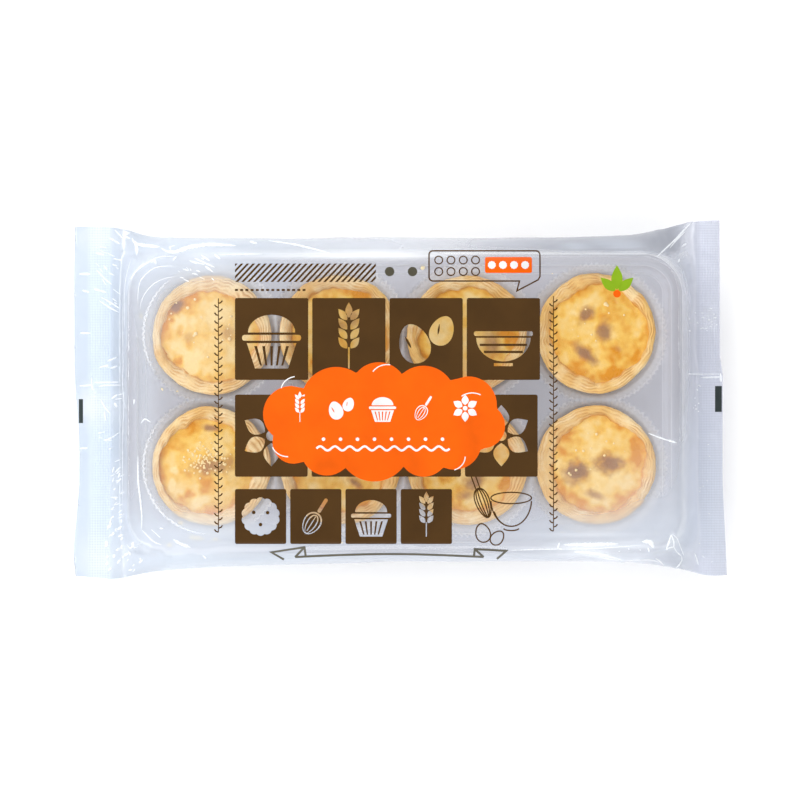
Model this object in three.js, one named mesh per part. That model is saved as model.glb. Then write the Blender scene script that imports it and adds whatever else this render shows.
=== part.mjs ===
// Sealed flow-wrap pack of small baked tarts, as one closed body.
// Millimetres, +Z up. X runs along the pack, the origin is at the middle of the base, and the
// pack lies flat on its base with its two end seals standing clear of the surface.

import * as THREE from "three";
import { mergeVertices } from "three/addons/utils/BufferGeometryUtils.js";

// ---------------------------------------------------------------- driving dimensions

// The tray inside decides where the wrap is full height.
const TRAY_LEFT = -117.5;
const TRAY_RIGHT = 119.5;
const TRAY_HALF_WIDTH = 65;
const TRAY_CORNER_RADIUS = 17;

// The wrap over the tray: flat base, bulged sides, nearly flat top.
const BODY_HEIGHT = 29;
const BASE_HALF_WIDTH = 63;
const TOP_HALF_WIDTH = 65.5;
const SIDE_BULGE = 5.5;
const TOP_SHOULDER_DROP = 4.5;
const BASE_SHOULDER_LIFT = 2.5;
const SHOULDER_POWER = 10;

// The end seals: flat crimped fins, wider than the body.
const SEAL_HALF_WIDTH = 75.6;
const SEAL_MID_HEIGHT = 9;
const SEAL_THICKNESS = 1.2;
const LEFT_EDGE = -140;
const LEFT_ROOT = -120.5;
const LEFT_CRIMP_START = -134;
const RIGHT_ROOT = 128;
const RIGHT_EDGE = 138.4;
const RIGHT_EDGE_SKEW = -0.0208;
const CRIMP_BAND = 10;
const CRIMP_PITCH = 2;
const CRIMP_DEPTH = 0.25;
const FLARE_LENGTH = 34;

// Mesh density.
const CORNER_STEP = 1.6;
const BODY_STEPS = 12;
const CROSS_STEPS = 20;
const SIDE_STEPS = 6;

// ---------------------------------------------------------------- small helpers

const lerp = THREE.MathUtils.lerp;
const smooth = THREE.MathUtils.smoothstep;

function evenSteps(start, end, count) {
  return Array.from({ length: count }, (_, i) => lerp(start, end, i / count));
}

// ---------------------------------------------------------------- sections along the pack

// The x of every section: close together over crimps and corners, far apart over the body.
function sectionPlaces() {
  const leftCorner = TRAY_LEFT + TRAY_CORNER_RADIUS;
  const rightCorner = TRAY_RIGHT - TRAY_CORNER_RADIUS;
  const crimpSteps = (2 * CRIMP_BAND) / CRIMP_PITCH;
  const leftCrimpEnd = LEFT_CRIMP_START + CRIMP_BAND;
  const leftCornerSteps = Math.round((leftCorner - LEFT_ROOT) / CORNER_STEP);
  const rightCornerSteps = Math.round((RIGHT_ROOT - rightCorner) / CORNER_STEP);
  return [
    ...evenSteps(LEFT_EDGE, LEFT_CRIMP_START, 2),
    ...evenSteps(LEFT_CRIMP_START, leftCrimpEnd, crimpSteps),
    ...evenSteps(leftCrimpEnd, LEFT_ROOT, 2),
    ...evenSteps(LEFT_ROOT, leftCorner, leftCornerSteps),
    ...evenSteps(leftCorner, rightCorner, BODY_STEPS),
    ...evenSteps(rightCorner, RIGHT_ROOT, rightCornerSteps),
    ...evenSteps(RIGHT_ROOT, RIGHT_EDGE, crimpSteps),
    RIGHT_EDGE,
  ];
}

// How far the tray's rounded end is pulled in from its straight end, at a distance y from the middle.
function cornerPullIn(y) {
  const past = Math.abs(y) - (TRAY_HALF_WIDTH - TRAY_CORNER_RADIUS);
  if (past <= 0) return 0;
  const reach = Math.min(past, TRAY_CORNER_RADIUS);
  return TRAY_CORNER_RADIUS - Math.sqrt(TRAY_CORNER_RADIUS ** 2 - reach ** 2);
}

// 1 over the tray and 0 at the seals, falling between the tray's edge and the root of the seal.
function fullness(x, y) {
  const pullIn = cornerPullIn(y);
  const left = smooth(x, LEFT_ROOT, TRAY_LEFT + pullIn);
  const right = 1 - smooth(x, TRAY_RIGHT - pullIn, RIGHT_ROOT);
  return Math.min(left, right);
}

// 0 at the seals and 1 where the sides have drawn in to the body's own width.
function drawnIn(x) {
  const left = smooth(x, LEFT_ROOT, LEFT_ROOT + FLARE_LENGTH);
  const right = 1 - smooth(x, RIGHT_ROOT - FLARE_LENGTH, RIGHT_ROOT);
  return Math.min(left, right);
}

// Half the width at x, for a place up the side that runs from -1 at the base to 1 at the top.
function halfWidth(x, up) {
  const straight = lerp(BASE_HALF_WIDTH, TOP_HALF_WIDTH, (up + 1) / 2);
  const body = straight + SIDE_BULGE * (1 - up ** 2);
  return lerp(SEAL_HALF_WIDTH, body, drawnIn(x));
}

// Ridges pressed into the sealed ends, running across the pack.
function crimpOffset(x) {
  const along = x - (x < 0 ? LEFT_CRIMP_START : RIGHT_ROOT);
  if (along <= 0 || along >= CRIMP_BAND) return 0;
  return -CRIMP_DEPTH * Math.cos((2 * Math.PI * along) / CRIMP_PITCH);
}

// ---------------------------------------------------------------- the pack

// Draws the lines that run along the pack closer together near its two sides.
function spread(across) {
  return (across + Math.sin((across * Math.PI) / 2)) / 2;
}

// Takes a point of a box, with across and up from -1 to 1, to its place on the pack.
function packPoint(x, across, up) {
  const y = across * halfWidth(x, up);
  const full = fullness(x, y);
  const shoulder = Math.abs(across) ** SHOULDER_POWER;
  const sealTop = SEAL_MID_HEIGHT + SEAL_THICKNESS / 2;
  const sealBase = SEAL_MID_HEIGHT - SEAL_THICKNESS / 2;
  const top = lerp(sealTop, BODY_HEIGHT - TOP_SHOULDER_DROP * shoulder, full);
  const base = lerp(sealBase, BASE_SHOULDER_LIFT * shoulder, full);
  const z = lerp(base, top, (up + 1) / 2) + crimpOffset(x);
  const endward = smooth(x, RIGHT_ROOT - FLARE_LENGTH, RIGHT_EDGE);
  return new THREE.Vector3(x + RIGHT_EDGE_SKEW * y * endward, y, z);
}

function packGeometry() {
  const places = sectionPlaces();
  const lengthSteps = places.length - 1;
  const box = new THREE.BoxGeometry(1, 2, 2, lengthSteps, CROSS_STEPS, SIDE_STEPS);
  box.deleteAttribute("normal");
  box.deleteAttribute("uv");
  const geometry = mergeVertices(box);
  const position = geometry.getAttribute("position");
  for (let i = 0; i < position.count; i += 1) {
    const section = Math.round((position.getX(i) + 0.5) * lengthSteps);
    const point = packPoint(places[section], spread(position.getY(i)), position.getZ(i));
    position.setXYZ(i, point.x, point.y, point.z);
  }
  geometry.computeVertexNormals();
  return geometry;
}

function sealedPack() {
  const film = new THREE.MeshStandardMaterial({ color: 0xdfe4ee, roughness: 0.25, metalness: 0 });
  const mesh = new THREE.Mesh(packGeometry(), film);
  mesh.name = "sealed_pack";
  return mesh;
}

const pack = new THREE.Group();
pack.add(sealedPack());

export default pack;
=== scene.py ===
"""A sealed clear pack of small egg tarts in a formed tray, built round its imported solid."""

import random
from math import atan2, copysign, cos, dist, exp, hypot, pi, radians, sin, sqrt

import bmesh
import bpy
import numpy as np
from mathutils import Matrix, Vector, noise
from mathutils.bvhtree import BVHTree


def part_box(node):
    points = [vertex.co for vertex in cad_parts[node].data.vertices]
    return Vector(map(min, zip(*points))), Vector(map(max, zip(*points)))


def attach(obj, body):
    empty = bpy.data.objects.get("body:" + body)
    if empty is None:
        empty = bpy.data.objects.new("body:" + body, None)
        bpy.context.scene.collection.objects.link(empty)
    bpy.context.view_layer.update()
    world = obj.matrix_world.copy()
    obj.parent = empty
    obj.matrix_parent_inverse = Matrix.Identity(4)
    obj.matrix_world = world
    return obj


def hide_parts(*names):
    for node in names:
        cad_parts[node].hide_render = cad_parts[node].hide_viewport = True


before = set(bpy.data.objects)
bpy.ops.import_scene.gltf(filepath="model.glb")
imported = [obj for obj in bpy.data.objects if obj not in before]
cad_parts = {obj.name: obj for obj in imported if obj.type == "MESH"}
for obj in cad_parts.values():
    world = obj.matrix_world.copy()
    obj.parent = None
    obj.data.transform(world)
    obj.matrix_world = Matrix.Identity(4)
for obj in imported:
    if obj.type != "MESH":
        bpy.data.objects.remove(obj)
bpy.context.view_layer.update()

bl_info = {
    "name": "Sealed Pack of Egg Tarts",
    "version": (1, 0, 0),
    "blender": (4, 5, 0),
    "location": "3D View > Sidebar > Tart Pack",
    "description": "Builds a clear printed film pack with a formed tray of small egg tarts",
    "category": "Object",
}

# ---------------- sizes, in metres

MM = 0.001
NODE = "sealed_pack"
BODY = "root"
PACK_LOW, PACK_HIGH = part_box(NODE)

TRAY_LEFT = -116.6 * MM
TRAY_RIGHT = 119.2 * MM
TRAY_FRONT = -65 * MM
TRAY_BACK = 61.8 * MM
TRAY_CORNER = 17 * MM

COLUMNS = (-80.4 * MM, -26.4 * MM, 27.9 * MM, 83.0 * MM)
ROWS = (28.0 * MM, -28.0 * MM)


def plain(red, green, blue):
    """A colour given as it shows on a screen, from 0 to 255, as the linear light that Blender mixes."""
    shown = [channel / 255 for channel in (red, green, blue)]
    return tuple(c / 12.92 if c <= 0.04045 else ((c + 0.055) / 1.055) ** 2.4 for c in shown)


def ease(value, start, end):
    """0 before start, 1 after end, and a smooth step between them."""
    t = min(max((value - start) / (end - start), 0.0), 1.0)
    return t * t * (3 - 2 * t)


def eased(values, start, end):
    """The same step for an array of values."""
    t = np.clip((values - start) / (end - start), 0.0, 1.0)
    return t * t * (3 - 2 * t)


def blend(first, second, share):
    return first + (second - first) * share


# ---------------- settings


def length(name, description, default):
    return bpy.props.FloatProperty(
        name=name, description=description, default=default, min=0.0, unit="LENGTH"
    )


def factor(name, description, default, most=1.0):
    return bpy.props.FloatProperty(
        name=name, description=description, default=default, min=0.0, max=most
    )


def colour(name, description, default):
    return bpy.props.FloatVectorProperty(
        name=name, description=description, default=default, min=0.0, max=1.0, subtype="COLOR"
    )


class WrapSettings(bpy.types.PropertyGroup):
    top: length("Top", "Height of the film over the tray", PACK_HIGH.z - 0.8 * MM)
    seal_height: length("Seal Height", "Height of the end seals above the base", 9 * MM)
    crimp_pitch: length("Crimp Pitch", "Distance between the ridges of the end seals", 1.12 * MM)
    crimp_depth: length("Crimp Depth", "Half the height of a seal's ridges", 0.05 * MM)
    wrinkle: factor("Wrinkles", "How deep the film's folds and creases are", 1.0, 3.0)
    grid_pitch: length("Grid Pitch", "Distance between the fine lines pressed into the seals", 1.12 * MM)
    haze: factor("Haze", "How milky one layer of the film is", 0.004)
    shine: factor("Shine", "How much a flat layer of film mirrors", 0.055)
    tint: colour("Tint", "Colour of the haze at the wide end", (0.575, 0.66, 0.77))
    tint_end: colour("End Tint", "Colour of the haze at the narrow end", (0.7, 0.73, 0.85))
    # Painted light in the film's haze: a pale wash over the tray, highlights on the folds and brightest
    # patches, and shade where the film drops off the tray's ends.
    painted_wash_tone: colour("Glow", "Colour of the soft veil over the tray", (0.76, 0.84, 0.95))
    painted_highlight: colour("Sheen", "Colour of the folds and of the brightest patches", (0.93, 0.96, 1.0))
    painted_steep_shade: colour("Steep", "Colour of the film where it drops off the tray's end", (0.37, 0.4, 0.47))


class TraySettings(bpy.types.PropertyGroup):
    deck: length("Deck Height", "Height of the tray's deck between the cups", 22.5 * MM)
    rim: length("Rim Height", "Height of the tray's outer rim", 26 * MM)
    flutes: bpy.props.IntProperty(
        name="Flutes", description="Flutes round each cup", default=78, min=8
    )
    flute_depth: length("Flute Depth", "Half the depth of a flute", 0.45 * MM)
    wall: length("Wall", "Thickness of the formed sheet", 0.4 * MM)
    body: factor("Body", "How much of the light the sheet stops", 0.5)
    tint: colour("Tint", "Colour of the milky sheet", plain(222, 222, 229))


class TartSettings(bpy.types.PropertyGroup):
    radius: length("Radius", "Half the width of a tart over its rim", 25.3 * MM)
    height: length("Height", "From the tart's base to the top of its rim", 20.5 * MM)
    leaf: length("Leaf Pitch", "Distance between the pastry's leaves", 1.2 * MM)
    leaf_depth: length("Leaf Depth", "How far a leaf stands out", 0.4 * MM)
    pastry: colour("Pastry", "Pale top of the baked pastry", plain(254, 228, 176))
    pastry_gold: colour("Pastry Gold", "Pastry that has browned a little", plain(240, 194, 112))
    # The pastry line colour stands for browned pastry and for painted shade in the creases between the
    # leaves.
    pastry_line: colour("Pastry Line", "Pastry deep between the leaves", plain(214, 152, 70))
    custard: colour("Custard", "Palest of the custard", plain(252, 220, 152))
    custard_gold: colour("Custard Gold", "Most of the custard", plain(246, 198, 96))
    custard_amber: colour("Custard Amber", "Custard that caught the heat", plain(226, 150, 34))
    scorch: colour("Scorch", "Brown patches of the custard", plain(184, 134, 88))
    scorch_deep: colour("Deep Scorch", "Darkest of the patches", plain(148, 110, 88))


class PrintSettings(bpy.types.PropertyGroup):
    brown: colour("Brown", "Main colour of the print", plain(80, 54, 22))
    orange: colour("Orange", "Colour of the cloud and the label", plain(254, 102, 2))
    green: colour("Green", "Colour of the leaves", plain(140, 178, 30))
    white: colour("White", "Colour of the marks on the cloud", plain(250, 250, 250))
    grey: colour("Grey", "Colour of the dots and the ribbon", plain(88, 84, 70))
    slate: colour("Slate", "Colour of the marks on the seals", plain(58, 66, 66))
    line: length("Line", "Width of the thin printed lines", 0.62 * MM)


class StudioSettings(bpy.types.PropertyGroup):
    distance: length("Camera Distance", "Height of the camera above the floor", 1.6)
    frame_width: length("Frame Width", "Width that the camera sees at the seals' height", 343 * MM)
    aim_x: bpy.props.FloatProperty(
        name="Aim", description="Where along the pack the camera stands", default=-0.6 * MM
    )
    floor: colour("Floor", "Colour of the floor", (0.96, 0.96, 0.96))
    sky: factor("Sky", "Strength of the even light from all sides", 1.1, 10.0)


class PackSettings(bpy.types.PropertyGroup):
    wrap: bpy.props.PointerProperty(type=WrapSettings)
    tray: bpy.props.PointerProperty(type=TraySettings)
    tart: bpy.props.PointerProperty(type=TartSettings)
    ink: bpy.props.PointerProperty(type=PrintSettings)
    studio: bpy.props.PointerProperty(type=StudioSettings)


def settings():
    return bpy.context.scene.tart_pack


# ---------------- shader nodes


def plug(tree, place, value):
    """Gives a socket a value, or links it if the value is a wire. Colours get full alpha."""
    if isinstance(value, Wire):
        tree.links.new(value.socket, place)
    elif place.type == "RGBA":
        place.default_value = (*value, 1.0)
    else:
        place.default_value = value


class Wire:
    """A node's output that can stand in a sum: each operator adds one Math node."""

    def __init__(self, tree, socket):
        self.tree = tree
        self.socket = socket

    def maths(self, operation, first, second):
        node = self.tree.nodes.new("ShaderNodeMath")
        node.operation = operation
        plug(self.tree, node.inputs[0], first)
        plug(self.tree, node.inputs[1], second)
        return Wire(self.tree, node.outputs[0])

    def __add__(self, other):
        return self.maths("ADD", self, other)

    __radd__ = __add__

    def __sub__(self, other):
        return self.maths("SUBTRACT", self, other)

    def __rsub__(self, other):
        return self.maths("SUBTRACT", other, self)

    def __mul__(self, other):
        return self.maths("MULTIPLY", self, other)

    __rmul__ = __mul__

    def __pow__(self, other):
        return self.maths("POWER", self, other)


class Finish:
    """The nodes of one material, or of the world."""

    def __init__(self, owner):
        self.owner = owner
        owner.use_nodes = True
        self.tree = owner.node_tree
        self.tree.nodes.clear()

    def node(self, kind, options=None, inputs=None, output=0):
        """Adds a node: its options first, with a ramp's stops among them, then its inputs."""
        made = self.tree.nodes.new("ShaderNode" + kind)
        for key, value in (options or {}).items():
            if key == "stops":
                self.set_stops(made.color_ramp.elements, value)
            else:
                setattr(made, key, value)
        for key, value in (inputs or {}).items():
            plug(self.tree, made.inputs[key], value)
        return Wire(self.tree, made.outputs[output])

    def set_stops(self, elements, stops):
        while len(elements) < len(stops):
            elements.new(1.0)
        for element, (place, shade) in zip(elements, stops):
            element.position = place
            tone = (shade,) * 3 if isinstance(shade, float) else shade
            element.color = (*tone, 1.0)

    def ramp(self, value, *stops):
        return self.node("ValToRGB", {"stops": stops}, {"Fac": value})

    def place(self):
        return self.node("TexCoord", output="Object")

    def axis(self, place, name):
        return self.node("SeparateXYZ", None, {0: place}, name)

    def sine(self, value):
        return self.node("Math", {"operation": "SINE"}, {0: value})

    def attribute(self, name, output="Fac"):
        return self.node("Attribute", {"attribute_name": name}, output=output)

    def noise(self, place, scale, detail=3.0, rough=0.5, distortion=0.0):
        inputs = {"Vector": place, "Scale": scale, "Detail": detail}
        inputs.update({"Roughness": rough, "Distortion": distortion})
        return self.node("TexNoise", None, inputs)

    def mix(self, share, first, second):
        return self.node("Mix", {"data_type": "RGBA"}, {0: share, 6: first, 7: second}, 2)

    def bump(self, height, distance, strength=1.0, below=None):
        inputs = {"Height": height, "Distance": distance, "Strength": strength}
        if below is not None:
            inputs["Normal"] = below
        return self.node("Bump", None, inputs)

    def principled(self, **inputs):
        named = {key.replace("_", " ").title(): value for key, value in inputs.items()}
        return self.node("BsdfPrincipled", None, named)

    def mix_shaders(self, share, first, second):
        return self.node("MixShader", None, {0: share, 1: first, 2: second})

    def done(self, shader, kind="Material"):
        out = self.tree.nodes.new("ShaderNodeOutput" + kind)
        self.tree.links.new(shader.socket, out.inputs["Surface"])
        return self.owner


def material_named(name, fill):
    """The material of that name, filled with nodes the first time it's asked for."""
    return bpy.data.materials.get(name) or fill(Finish(bpy.data.materials.new(name)))


# ---------------- materials

WHITE = (1.0, 1.0, 1.0)


def film_material(film):
    """Thin clear film: haze by place, sharp gloss, fine crinkles and a grid pressed into its seals."""
    wrap = settings().wrap
    place = film.place()
    pitch = 2 * pi / wrap.grid_pitch
    grid = film.sine(film.axis(place, "X") * pitch) + film.sine(film.axis(place, "Y") * pitch)
    grid = grid * 0.5 * film.attribute("seal")
    crinkle = film.noise(place, 150.0, 3.0, 0.5)
    patchy = film.ramp(film.noise(place, 22.0, 2.0), (0.5, 0.1), (0.68, 1.0))
    skin = film.bump(grid * 0.16 + crinkle * patchy * film.attribute("slack"), 0.3 * MM, 0.5)
    facing = film.node("LayerWeight", None, {"Blend": 0.5, "Normal": skin}, "Facing")
    mirror = wrap.shine + 0.3 * facing**5.0
    clear = film.node("BsdfTransparent", None, {"Color": (0.975, 0.98, 0.99)})
    # The haze's colour carries painted washes of light, painted highlights and painted shade.
    tone = film.attribute("tone", "Color")
    milk = film.principled(base_color=tone, roughness=0.3, normal=skin)
    body = film.mix_shaders(film.attribute("haze") * (1.0 + grid * 0.1), clear, milk)
    gloss = film.node("BsdfGlossy", None, {"Color": WHITE, "Roughness": 0.09, "Normal": skin})
    return film.done(film.mix_shaders(mirror, body, gloss))


def fold_highlight_material(fold):
    """A white strip of painted highlight laid along a fold of the film, partly see-through."""
    clear = fold.node("BsdfTransparent", None, {"Color": WHITE})
    white = fold.principled(base_color=settings().wrap.painted_highlight, roughness=0.2)
    return fold.done(fold.mix_shaders(fold.attribute("press"), clear, white))


def tray_material(sheet):
    """Milky formed sheet: part of the light goes through, the rest comes back soft."""
    tray = settings().tray
    place = sheet.place()
    cloudy = sheet.noise(place, 25.0, 3.0)
    inside, reach = sheet.attribute("inside"), sheet.attribute("reach")
    inward = inside * 80.0  # from 0 at the tray's edge to 1 at 12.5 mm in
    # Thin lines along the tray's outer edge, rim, step and each cup's lip: raised in the bump, a little
    # more opaque, and painted white as painted highlights.
    edge = sheet.ramp(inward, (0.03, 0.35), (0.08, 0.0))
    rim_and_step = (0.34, 0.0), (0.37, 0.9), (0.4, 0.0), (0.62, 0.0), (0.65, 0.7), (0.68, 0.0)
    rim = sheet.ramp(inward, *rim_and_step)
    outward = reach * 30.0  # from 0 at a cup's middle to 1 at 33 mm out
    crinkled = outward + (sheet.noise(place, 800.0, 2.0) - 0.5) * 0.06
    lip = sheet.ramp(crinkled, (0.86, 0.0), (0.882, 0.75), (0.904, 0.0))
    skin = sheet.bump(sheet.noise(place, 300.0, 2.0), 0.1 * MM, 0.4)
    # 1 at the left end, falling to 0.45 at the right: it sets how strong the lines are, and weakens the
    # rim's painted shade at the left.
    fade = sheet.ramp(sheet.axis(place, "X") * 4.0 + 0.5, (0.05, 1.0), (0.95, 0.45))
    lines = (edge + rim + lip) * fade
    skin = sheet.bump(lines, 0.4 * MM, 0.6, skin)
    shade = sheet.mix(cloudy, tray.tint, [c * 0.93 for c in tray.tint])
    # Painted light: the sheet is lightened round each tart, on the ledge where the tart's shade falls.
    ledge = sheet.ramp(crinkled, (0.8, 0.55), (0.87, 0.3), (0.885, 0.0))
    shade = sheet.mix(lines * 0.75 + ledge, shade, WHITE)
    # Painted shade: a grey band along the tray's outer wall and the top of its rim, stronger towards the
    # right end.
    wall = sheet.ramp(inward, (0.06, 0.0), (0.1, 1.0), (0.24, 1.0), (0.32, 0.0))
    shade = sheet.mix(wall * (0.9 - 0.55 * fade), shade, plain(202, 201, 206))
    clear = sheet.node("BsdfTransparent", None, {"Color": (0.95, 0.95, 0.96)})
    front = sheet.principled(base_color=shade, roughness=0.25, normal=skin)
    through = sheet.node("BsdfTranslucent", None, {"Color": shade, "Normal": skin})
    milk = sheet.mix_shaders(0.45, front, through)
    return sheet.done(sheet.mix_shaders(tray.body + lines * 0.4, clear, milk))


def pastry_material(crust):
    """Baked puff pastry: pale leaves with golden lines between them, and browner patches."""
    tart = settings().tart
    place = crust.place()
    patch = crust.noise(place, 110.0, 4.0, 0.6)
    flaky = crust.noise(place, 850.0, 4.0, 0.7)
    strands = crust.noise(crust.attribute("strand", "Vector"), 1700.0, 3.0, 0.65)
    golden = crust.ramp(patch + crust.attribute("bake") * 0.5, (0.4, 0.0), (0.8, 0.95))
    shade = crust.mix(golden, tart.pastry, tart.pastry_gold)
    hairs = crust.ramp(strands, (0.54, 0.0), (0.72, 0.26))
    # Darker between the leaves: browned pastry, and painted shade in the creases.
    crease_browning_and_shade = crust.ramp(crust.attribute("leaf") + flaky * 0.4 - 0.16, (0.0, 0.0), (0.9, 0.76))
    shade = crust.mix(crease_browning_and_shade + hairs, shade, tart.pastry_line)
    soak = crust.ramp(crust.attribute("soak") + patch * 0.5 - 0.25, (0.1, 0.0), (0.8, 0.85))
    shade = crust.mix(soak, shade, tart.custard_amber)
    skin = crust.bump(flaky * 0.4 + patch * 0.3 - strands * 0.5, 0.3 * MM, 0.5)
    return crust.done(crust.principled(base_color=shade, roughness=0.6, normal=skin))


def custard_material(cream):
    """Baked custard: pale, golden and amber by turns, and scorched brown in soft patches."""
    tart = settings().tart
    place = cream.place()
    scorch = cream.attribute("scorch")
    mottle = cream.noise(place, 140.0, 5.0, 0.6, 0.5)
    speck = cream.noise(place, 700.0, 3.0, 0.6)
    warmth = cream.attribute("amber") + mottle * 0.7 - 0.35
    tones = (0.0, tart.custard), (0.5, tart.custard_gold), (1.0, tart.custard_amber)
    shade = cream.ramp(warmth, *tones)
    burnt = cream.ramp(scorch, (0.55, tart.scorch), (1.0, tart.scorch_deep))
    covered = cream.ramp(scorch + mottle * 0.3 - 0.15, (0.05, 0.0), (0.85, 0.9))
    shade = cream.mix(covered, shade, burnt)
    skin = cream.bump(mottle * 0.7 + speck * 0.3, 0.3 * MM, 0.5)
    wet = cream.ramp(mottle, (0.3, 0.16), (0.7, 0.4))
    return cream.done(cream.principled(base_color=shade, roughness=wet, normal=skin))


def bubble_glint_material(drop):
    # Pale, glossy domes of real drops and bubbles, made paler than the custard as a painted highlight.
    pale = drop.noise(drop.place(), 400.0)
    shade = drop.mix(pale, plain(255, 236, 184), plain(252, 216, 146))
    return drop.done(drop.principled(base_color=shade, roughness=0.12))


def crumb_material(crumb):
    pale = crumb.noise(crumb.place(), 500.0)
    shade = crumb.mix(pale, plain(255, 246, 214), plain(250, 226, 170))
    return crumb.done(crumb.principled(base_color=shade, roughness=0.8))


def ink_material(printed, ink):
    """Flat print on film, a little uneven in strength."""
    uneven = printed.noise(printed.place(), 60.0, 4.0)
    darker = [c * 0.8 for c in ink]
    shade = printed.mix(printed.ramp(uneven, (0.35, 0.0), (0.7, 1.0)), ink, darker)
    skin = printed.bump(printed.noise(printed.place(), 170.0, 4.0, 0.6), 0.3 * MM, 0.12)
    return printed.done(printed.principled(base_color=shade, roughness=0.25, normal=skin))


def floor_material(ground):
    studio = settings().studio
    pale = studio.floor
    lit = ground.principled(base_color=pale, roughness=0.9, emission_color=pale, emission_strength=0.07)
    return ground.done(lit)


# ---------------- mesh helpers


def add_piece(name, bm, material, smooth=True):
    """Turns a bmesh into a piece of the object that rides on the pack's body."""
    mesh = bpy.data.meshes.new(name)
    for face in bm.faces:
        face.smooth = smooth
    bm.to_mesh(mesh)
    bm.free()
    mesh.materials.append(material)
    piece = bpy.data.objects.new(name, mesh)
    bpy.context.scene.collection.objects.link(piece)
    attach(piece, BODY)
    return piece


def float_layers(bm, *names):
    """New layers of one number for each point, in the order of their names."""
    return [bm.verts.layers.float.new(name) for name in names]


def thicken(piece, thickness):
    """Gives a sheet its thickness, on the side that its faces look away from."""
    sheet = piece.modifiers.new("thickness", "SOLIDIFY")
    sheet.thickness = thickness
    sheet.offset = -1.0


def face_up(bm):
    """Turns the faces of a thin layer so that they all look up."""
    bm.normal_update()
    bmesh.ops.reverse_faces(bm, faces=[face for face in bm.faces if face.normal.z < 0])


def in_oval(x, y, middle_x, middle_y, radius_x, radius_y, turn):
    """A place, or arrays of them, as parts of a turned oval's two radii."""
    cosine, sine = cos(radians(turn)), sin(radians(turn))
    dx, dy = x - middle_x, y - middle_y
    return (dx * cosine + dy * sine) / radius_x, (dy * cosine - dx * sine) / radius_y


def curved_path(points, step):
    """Points about step apart on a smooth curve through the given ones."""
    ends = [points[0], *points, points[-1]]
    path = []
    for before, start, end, after in zip(ends, ends[1:], ends[2:], ends[3:]):
        a, b, c, d = (Vector(p) for p in (before, start, end, after))
        count = max(1, round((c - b).length / step))
        for i in range(count):
            t = i / count
            bend = (2 * a - 5 * b + 4 * c - d) * t * t + (3 * b - a - 3 * c + d) * t**3
            path.append((2 * b + (c - a) * t + bend) / 2)
    return [*path, Vector(points[-1])]


def distances_along(profile):
    """How far along the profile each of its points is."""
    distances = [0.0]
    for start, end in zip(profile, profile[1:]):
        distances.append(distances[-1] + dist(start, end))
    return distances


def turned(profile, steps, *names):
    """A closed body of revolution from a profile of (radius, height) that ends on the axis.

    A layer of each name holds how far along the profile each point is.
    """
    bm = bmesh.new()
    layers = float_layers(bm, *names)
    ring = [bm.verts.new((radius, 0, height)) for radius, height in profile]
    for vert, distance in zip(ring, distances_along(profile)):
        for layer in layers:
            vert[layer] = distance
    edges = [bm.edges.new(pair) for pair in zip(ring, ring[1:])]
    turn = {"cent": (0, 0, 0), "axis": (0, 0, 1), "angle": 2 * pi}
    bmesh.ops.spin(bm, geom=ring + edges, steps=steps, use_merge=True, **turn)
    bmesh.ops.remove_doubles(bm, verts=bm.verts, dist=0.001 * MM)
    bmesh.ops.recalc_face_normals(bm, faces=bm.faces)
    return bm


# ---------------- the tray


TRAY_MIDDLE = (TRAY_RIGHT + TRAY_LEFT) / 2, (TRAY_BACK + TRAY_FRONT) / 2
TRAY_HALF = (TRAY_RIGHT - TRAY_LEFT) / 2, (TRAY_BACK - TRAY_FRONT) / 2


def tray_plan(u, v):
    """Takes a point of the square from -1 to 1 to the tray's rounded rectangle."""
    x, y = u * TRAY_HALF[0], v * TRAY_HALF[1]
    straight = [half - TRAY_CORNER for half in TRAY_HALF]
    past_x, past_y = ((abs(each) - far) / TRAY_CORNER for each, far in zip((x, y), straight))
    if past_x > 0 and past_y > 0:
        x = copysign(straight[0] + past_x * sqrt(1 - past_y**2 / 2) * TRAY_CORNER, x)
        y = copysign(straight[1] + past_y * sqrt(1 - past_x**2 / 2) * TRAY_CORNER, y)
    return x + TRAY_MIDDLE[0], y + TRAY_MIDDLE[1]


def distance_inside(x, y):
    """How far a place is inside the tray's outer edge."""
    sides = zip((x, y), TRAY_MIDDLE, TRAY_HALF)
    out_x, out_y = (abs(each - middle) - half for each, middle, half in sides)
    if min(out_x, out_y) > -TRAY_CORNER:
        return TRAY_CORNER - hypot(out_x + TRAY_CORNER, out_y + TRAY_CORNER)
    return -max(out_x, out_y)


CUP_FLOOR = 1.4 * MM
CUP_FLOOR_RADIUS = 18.5 * MM
CUP_WALL_RADIUS = 26.6 * MM
CUP_LEDGE_DROP = 2.8 * MM
CUP_LIP_RADIUS = 29.4 * MM
CUP_LIP = 1.2 * MM
CUP_LIP_SLOPE = 0.6 * MM
RIM_WIDTH, RIM_SLOPE = 4.6 * MM, 1.4 * MM
STEP, STEP_PLACE, STEP_SLOPE = 1.0 * MM, 8.2 * MM, 1.6 * MM
EDGE_WIDTH, EDGE_DROP = 1.2 * MM, 2.4 * MM
TRAY_CELL = 0.8 * MM


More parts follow.
